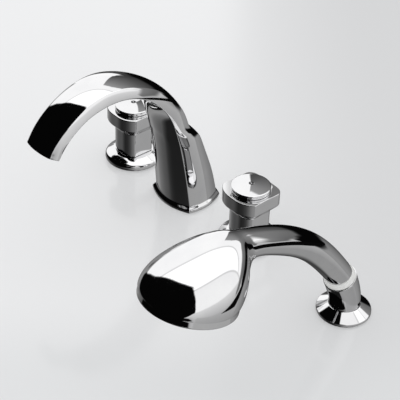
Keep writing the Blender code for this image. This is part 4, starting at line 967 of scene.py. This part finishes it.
def lifted_to_rim(row):
    """A section of the head with its bottom point raised to the rim's plane where it lay below."""
    top_y, top_z, bottom_y, bottom_z, *rest = row
    if rest[-1] < 1:
        return row
    up = Vector((0, math.sin(RIM_TILT), math.cos(RIM_TILT)))
    bottom = Vector((0, bottom_y, bottom_z))
    bottom -= up * min((bottom - rim_point(0)).dot(up), 0)
    return (top_y, top_z, bottom.y, bottom.z, *rest)


def bell_ring(row):
    """Points round one section, with a half oval on top and an underside that may be flat."""
    top_y, top_z, bottom_y, bottom_z, half_width, half_chord, widest, flatness = row
    flatness = min(max(flatness, 0), 1)
    top = Vector((0, top_y, top_z))
    bottom = Vector((0, bottom_y, bottom_z))
    ring = []
    for step in range(SHOWER_HALF_POINTS):
        angle = math.pi * step / SHOWER_HALF_POINTS
        height = widest + (1 - widest) * math.sin(angle)
        ring.append(bottom.lerp(top, height) + Vector((half_width * math.cos(angle), 0, 0)))
    for step in range(SHOWER_HALF_POINTS):
        share = step / SHOWER_HALF_POINTS
        angle = math.pi * (1 + share)
        round_x = half_width * math.cos(angle)
        round_height = widest * (1 + math.sin(angle))
        flat_x, flat_height = flat_underside(share, half_width, half_chord, widest)
        x = round_x + (flat_x - round_x) * flatness
        height = round_height + (flat_height - round_height) * flatness
        ring.append(bottom.lerp(top, height) + Vector((x, 0, 0)))
    return ring


def flat_underside(share, half_width, half_chord, widest):
    """The lower outline with a flat: down one side, along the chord, and up the other side."""
    side_share = UNDERSIDE_SIDE_SHARE
    inset = half_width - half_chord
    if share < side_share:
        down = share / side_share
        return -half_width + inset * down * down, widest * (1 - down)
    if share > 1 - side_share:
        down = (1 - share) / side_share
        return half_width - inset * down * down, widest * (1 - down)
    across = (share - side_share) / (1 - 2 * side_share)
    return half_chord * (2 * across - 1), 0


def make_shower_shell():
    """The arched grip that swells into the bell head, hollow over the spray face."""
    shell = skin("shower_shell", [bell_ring(row) for row in shower_rows()])
    placed(shell, Matrix.Translation((CRADLE_X, 0, 0)))
    chamber = [
        (0, CHAMBER_THROAT_DEPTH), (CHAMBER_THROAT_RADIUS, CHAMBER_THROAT_DEPTH),
        (CHAMBER_SHOULDER_RADIUS, CHAMBER_DEPTH),
        (CHAMBER_RADIUS, RIM_SPIGOT_HEIGHT + FACE_GAP), (CHAMBER_RADIUS, -CUT_OVERRUN),
        (0, -CUT_OVERRUN),
    ]
    cut(shell, turned("chamber_cutter", chamber, RIM_FRAME))
    seat_bottom = LINER_COLLAR - CUT_OVERRUN
    seat_top = LINER_COLLAR + DOCK_SPIGOT + FACE_GAP
    cut(shell, rod("spigot_seat_cutter", SPIGOT_SEAT_RADIUS, seat_bottom, seat_top, DOCK_FRAME))
    settle(shell, "hand_shower", "chrome", "shower_body")


def make_rim():
    """The rim ring, which widens a little below its seam, with a lip round the spray plate."""
    spigot_outer = CHAMBER_RADIUS - FACE_GAP
    spigot_inner = spigot_outer - RIM_SPIGOT_WALL
    lip_inner = spigot_inner - RIM_LIP
    outside = [(RIM_SHARES[0][0] * RIM_RADIUS - EDGE_EASE, -FACE_GAP)]
    for share_out, share_down in RIM_SHARES:
        outside.append((share_out * RIM_RADIUS, -FACE_GAP - share_down * (RIM_HEIGHT - FACE_GAP)))
    lip_top = -RIM_HEIGHT + RIM_LIP
    profile = [
        (spigot_inner, lip_top), (spigot_inner, RIM_SPIGOT_HEIGHT),
        (spigot_outer, RIM_SPIGOT_HEIGHT), (spigot_outer, -FACE_GAP), *outside,
        (lip_inner, -RIM_HEIGHT), (lip_inner, lip_top),
    ]
    rim = turned("shower_rim_ring", eased_loop(profile), RIM_FRAME)
    settle(rim, "hand_shower", "chrome", "shower_rim")


def make_dock_fittings():
    """The cone that sits in the liner, and the threaded nipple below it."""
    bottom = -DOCK_CONE_DEPTH
    spigot = SPIGOT_SEAT_RADIUS - FACE_GAP
    cone_profile = [
        (DOCK_CONE_BORE, bottom), (DOCK_CONE_BORE, LINER_COLLAR + DOCK_SPIGOT),
        (spigot, LINER_COLLAR + DOCK_SPIGOT), (spigot, LINER_COLLAR),
        (DOCK_CONE_RADIUS, LINER_COLLAR), (DOCK_CONE_RADIUS - DOCK_CONE_TAPER, bottom),
    ]
    cone = turned("shower_dock_taper", eased_loop(cone_profile), DOCK_FRAME)
    settle(cone, "hand_shower", "chrome", "shower_dock_cone")
    top = bottom - FACE_GAP
    end = top - NIPPLE_LENGTH
    spigot_top = top + NIPPLE_SPIGOT
    bore = NIPPLE_BORE - FACE_GAP
    profile = [
        (bore, end), (bore, spigot_top), (DOCK_CONE_BORE - FACE_GAP, spigot_top),
        (DOCK_CONE_BORE - FACE_GAP, top), (NIPPLE_RADIUS, top),
    ]
    pitch = NIPPLE_LENGTH / (THREAD_TURNS + 1)
    for turn in range(THREAD_TURNS):
        middle = top - (turn + 1) * pitch
        flank = THREAD_FLANK_SHARE * pitch
        profile += [(NIPPLE_RADIUS, middle + flank), (NIPPLE_RADIUS - THREAD_DEPTH, middle)]
        profile.append((NIPPLE_RADIUS, middle - flank))
    profile.append((NIPPLE_RADIUS, end))
    nipple = turned("shower_hose_thread", profile, DOCK_FRAME, SMALL_TURN_STEPS)
    settle(nipple, "hand_shower", "brass", "shower_hose_nipple")


# Studio and camera


def share_inside(value, low, high, softness):
    """How far a value lies between two soft limits, from 0 outside to 1 inside."""
    over = min(max((value - low) / softness + MIDDLE_SHARE, 0), 1)
    under = min(max((high - value) / softness + MIDDLE_SHARE, 0), 1)
    return over * under


def card_at(azimuth, elevation, outline, low_tone, high_tone, softness):
    """How much of a direction a card covers, and its tone there."""
    for turned_azimuth in (azimuth, azimuth - FULL_TURN):
        for before, after in zip(outline, outline[1:]):
            if before[0] <= turned_azimuth < after[0]:
                along = (turned_azimuth - before[0]) / (after[0] - before[0])
                low, high = (a + (b - a) * along for a, b in zip(before[1:], after[1:]))
                up = min(max((elevation - low) / max(high - low, 1), 0), 1)
                tone = low_tone + (high_tone - low_tone) * up
                return share_inside(elevation, low, high, softness), tone
    return 0, DOME_TONE


def dome_tone(direction):
    """The tone of the dome's white panels, with a thin grey seam where two meet."""
    tone = DOME_TONE
    for normal, offset, panel_tone in TENT_SEAM_SHARES:
        ahead = direction.dot(Vector(normal)) - offset
        if ahead < 0:
            tone = panel_tone
        tone += (SEAM_TONE - tone) * max(1 - abs(ahead) / SEAM_HALF_WIDTH, 0)
    return tone


def tent_tone(azimuth, elevation, direction):
    """The tone of the light tent in one direction: its dome, its floor and then each card."""
    tone = dome_tone(direction)
    for before, after in zip(TENT_FLOOR_TONES, TENT_FLOOR_TONES[1:]):
        if before[0] <= azimuth <= after[0]:
            along = (azimuth - before[0]) / (after[0] - before[0])
            floor_tone = before[1] + (after[1] - before[1]) * along
            share = share_inside(elevation, -QUARTER_TURN, TENT_HORIZON, TENT_SOFTNESS)
            tone += (floor_tone - tone) * share
    for card in TENT_CARDS:
        share, card_tone = card_at(azimuth, elevation, *card)
        tone += (card_tone - tone) * share
    return tone


def display_colour(tone):
    """The colour that shows as a grey of the given tone."""
    bright = tone**DISPLAY_GAMMA
    return (bright, bright, bright, 1)


def mirrored_only(thing):
    """Make a stage piece glow with the tones of its points, for mirrors alone to see."""
    material = bpy.data.materials.new(thing.name)
    material.use_nodes = True
    nodes = material.node_tree.nodes
    nodes.remove(nodes["Principled BSDF"])
    glow = nodes.new("ShaderNodeEmission")
    glow.inputs["Strength"].default_value = TENT_STRENGTH
    tone = nodes.new("ShaderNodeAttribute")
    tone.attribute_name = "tone"
    feed(tone.outputs["Color"], glow.inputs["Color"])
    feed(glow.outputs["Emission"], nodes["Material Output"].inputs["Surface"])
    thing.data.materials.append(material)
    thing.visible_camera = False
    thing.visible_diffuse = False
    thing.visible_transmission = False
    thing.visible_shadow = False


def make_tent():
    """A light tent for mirrors alone: a white dome, a grey floor, black flags and grey cards."""
    shape = bmesh.new()
    tones = shape.verts.layers.float_color.new("tone")
    rows = []
    for row in range(TENT_ROWS + 1):
        elevation = HALF_TURN * row / TENT_ROWS - QUARTER_TURN
        lean = math.radians(elevation)
        out = TENT_RADIUS * math.cos(lean)
        rows.append([])
        for column in range(TENT_COLUMNS):
            azimuth = FULL_TURN * column / TENT_COLUMNS
            turn = math.radians(azimuth)
            spot = Vector((out * math.sin(turn), -out * math.cos(turn), TENT_RADIUS * math.sin(lean)))
            vertex = shape.verts.new(spot)
            vertex[tones] = display_colour(tent_tone(azimuth, elevation, spot / TENT_RADIUS))
            rows[-1].append(vertex)
    bridge(shape, rows)
    mirrored_only(object_from(shape, "light_tent"))


def make_dark_card():
    """The dark card just under the floor at rear right, for mirrors alone to see."""
    shape = bmesh.new()
    tones = shape.verts.layers.float_color.new("tone")
    corners = [shape.verts.new((x, y, -2 * FLOOR_GAP)) for x, y in DARK_CARD_CORNERS]
    for corner in corners:
        corner[tones] = display_colour(DARK_CARD_TONE)
    shape.faces.new(corners)
    mirrored_only(object_from(shape, "dark_card"))


def floor_material():
    """A pale floor whose tone falls a little towards the right and towards the camera, a painted shade."""
    material, shader, noise = new_material("pale_floor")
    nodes = material.node_tree.nodes
    noise.inputs["Scale"].default_value = FLOOR_GRAIN
    roughness = shader.inputs["Roughness"]
    between(material, noise.outputs["Fac"], FLOOR_ROUGHNESS_FROM, FLOOR_ROUGHNESS_TO, roughness)
    lie = nodes.new("ShaderNodeMapping")
    lie.inputs["Rotation"].default_value = (0, 0, -CAMERA_TURN)
    lie.inputs["Location"].default_value = CAMERA_AIM
    parts = nodes.new("ShaderNodeSeparateXYZ")
    feed(noise.inputs["Vector"].links[0].from_socket, lie.inputs["Vector"])
    feed(lie.outputs["Vector"], parts.inputs["Vector"])
    tone = None
    # Painted shade: each fall darkens the pale tone towards the right or towards the camera
    for axis, start, end, colour in FLOOR_PAINTED_SHADE_FALLS:
        share = nodes.new("ShaderNodeMapRange")
        share.interpolation_type = "SMOOTHSTEP"
        share.inputs["From Min"].default_value = start
        share.inputs["From Max"].default_value = end
        mix = nodes.new("ShaderNodeMixRGB")
        mix.inputs["Color1"].default_value = (*FLOOR_PALE, 1)
        mix.inputs["Color2"].default_value = (*colour, 1)
        feed(parts.outputs[axis], share.inputs["Value"])
        feed(share.outputs["Result"], mix.inputs["Fac"])
        if tone:
            feed(tone, mix.inputs["Color1"])
        tone = mix.outputs["Color"]
    # Painted light: the lit colour is darkened and the same tone glows, lifting the floor's soft shadows
    lit_colour = nodes.new("ShaderNodeMixRGB")
    lit_colour.blend_type = "MULTIPLY"
    lit_colour.inputs["Fac"].default_value = 1.0
    lit_colour.inputs["Color2"].default_value = FLOOR_LIT_SHARE
    feed(tone, lit_colour.inputs["Color1"])
    feed(lit_colour.outputs["Color"], shader.inputs["Base Color"])
    feed(tone, shader.inputs["Emission Color"])
    shader.inputs["Emission Strength"].default_value = FLOOR_PAINTED_GLOW
    return material


def make_floor():
    """A plain pale floor, slightly glossy and with a painted glow, that lies under the set."""
    shape = bmesh.new()
    bmesh.ops.create_grid(shape, x_segments=FLOOR_SQUARES, y_segments=FLOOR_SQUARES, size=FLOOR_SIZE)
    floor = placed(object_from(shape, "studio_floor"), Matrix.Translation((0, 0, -FLOOR_GAP)))
    floor.data.materials.append(floor_material())
    floor.visible_glossy = False


def make_camera():
    """The camera at the photograph's viewing angle."""
    flat = math.cos(CAMERA_RISE)
    back = Vector((math.sin(CAMERA_TURN) * flat, -math.cos(CAMERA_TURN) * flat, math.sin(CAMERA_RISE)))
    right = Vector((math.cos(CAMERA_TURN), math.sin(CAMERA_TURN), 0))
    up = back.cross(right)
    lens = bpy.data.cameras.new("photo_camera")
    lens.sensor_width = CAMERA_SENSOR
    lens.lens = CAMERA_LENS
    camera = bpy.data.objects.new("photo_camera", lens)
    scene.collection.objects.link(camera)
    side = right * math.cos(CAMERA_ROLL) + up * math.sin(CAMERA_ROLL)
    over = up * math.cos(CAMERA_ROLL) - right * math.sin(CAMERA_ROLL)
    turn = Matrix((side, over, back)).transposed().to_4x4()
    camera.matrix_world = Matrix.Translation(Vector(CAMERA_AIM) + back * CAMERA_DISTANCE) @ turn
    scene.camera = camera


def make_world():
    """A pale even light all round, shown without a film curve."""
    world = bpy.data.worlds.new("studio")
    world.use_nodes = True
    world.node_tree.nodes["Background"].inputs["Color"].default_value = ROOM_TONE
    scene.world = world
    scene.view_settings.view_transform = "Standard"


make_camera()
make_world()
make_tent()
make_dark_card()
make_floor()
soften_nylon()
dress_frame()
make_spout()
for handle, handle_x in HANDLE_PLACES.items():
    handle_place = Matrix.Translation((handle_x, 0, 0))
    make_escutcheon(handle, handle_place)
    make_handle_casting(handle, handle_place)
    make_cap(handle, handle_place)
make_cradle()
make_shower_shell()
make_rim()
make_dock_fittings()
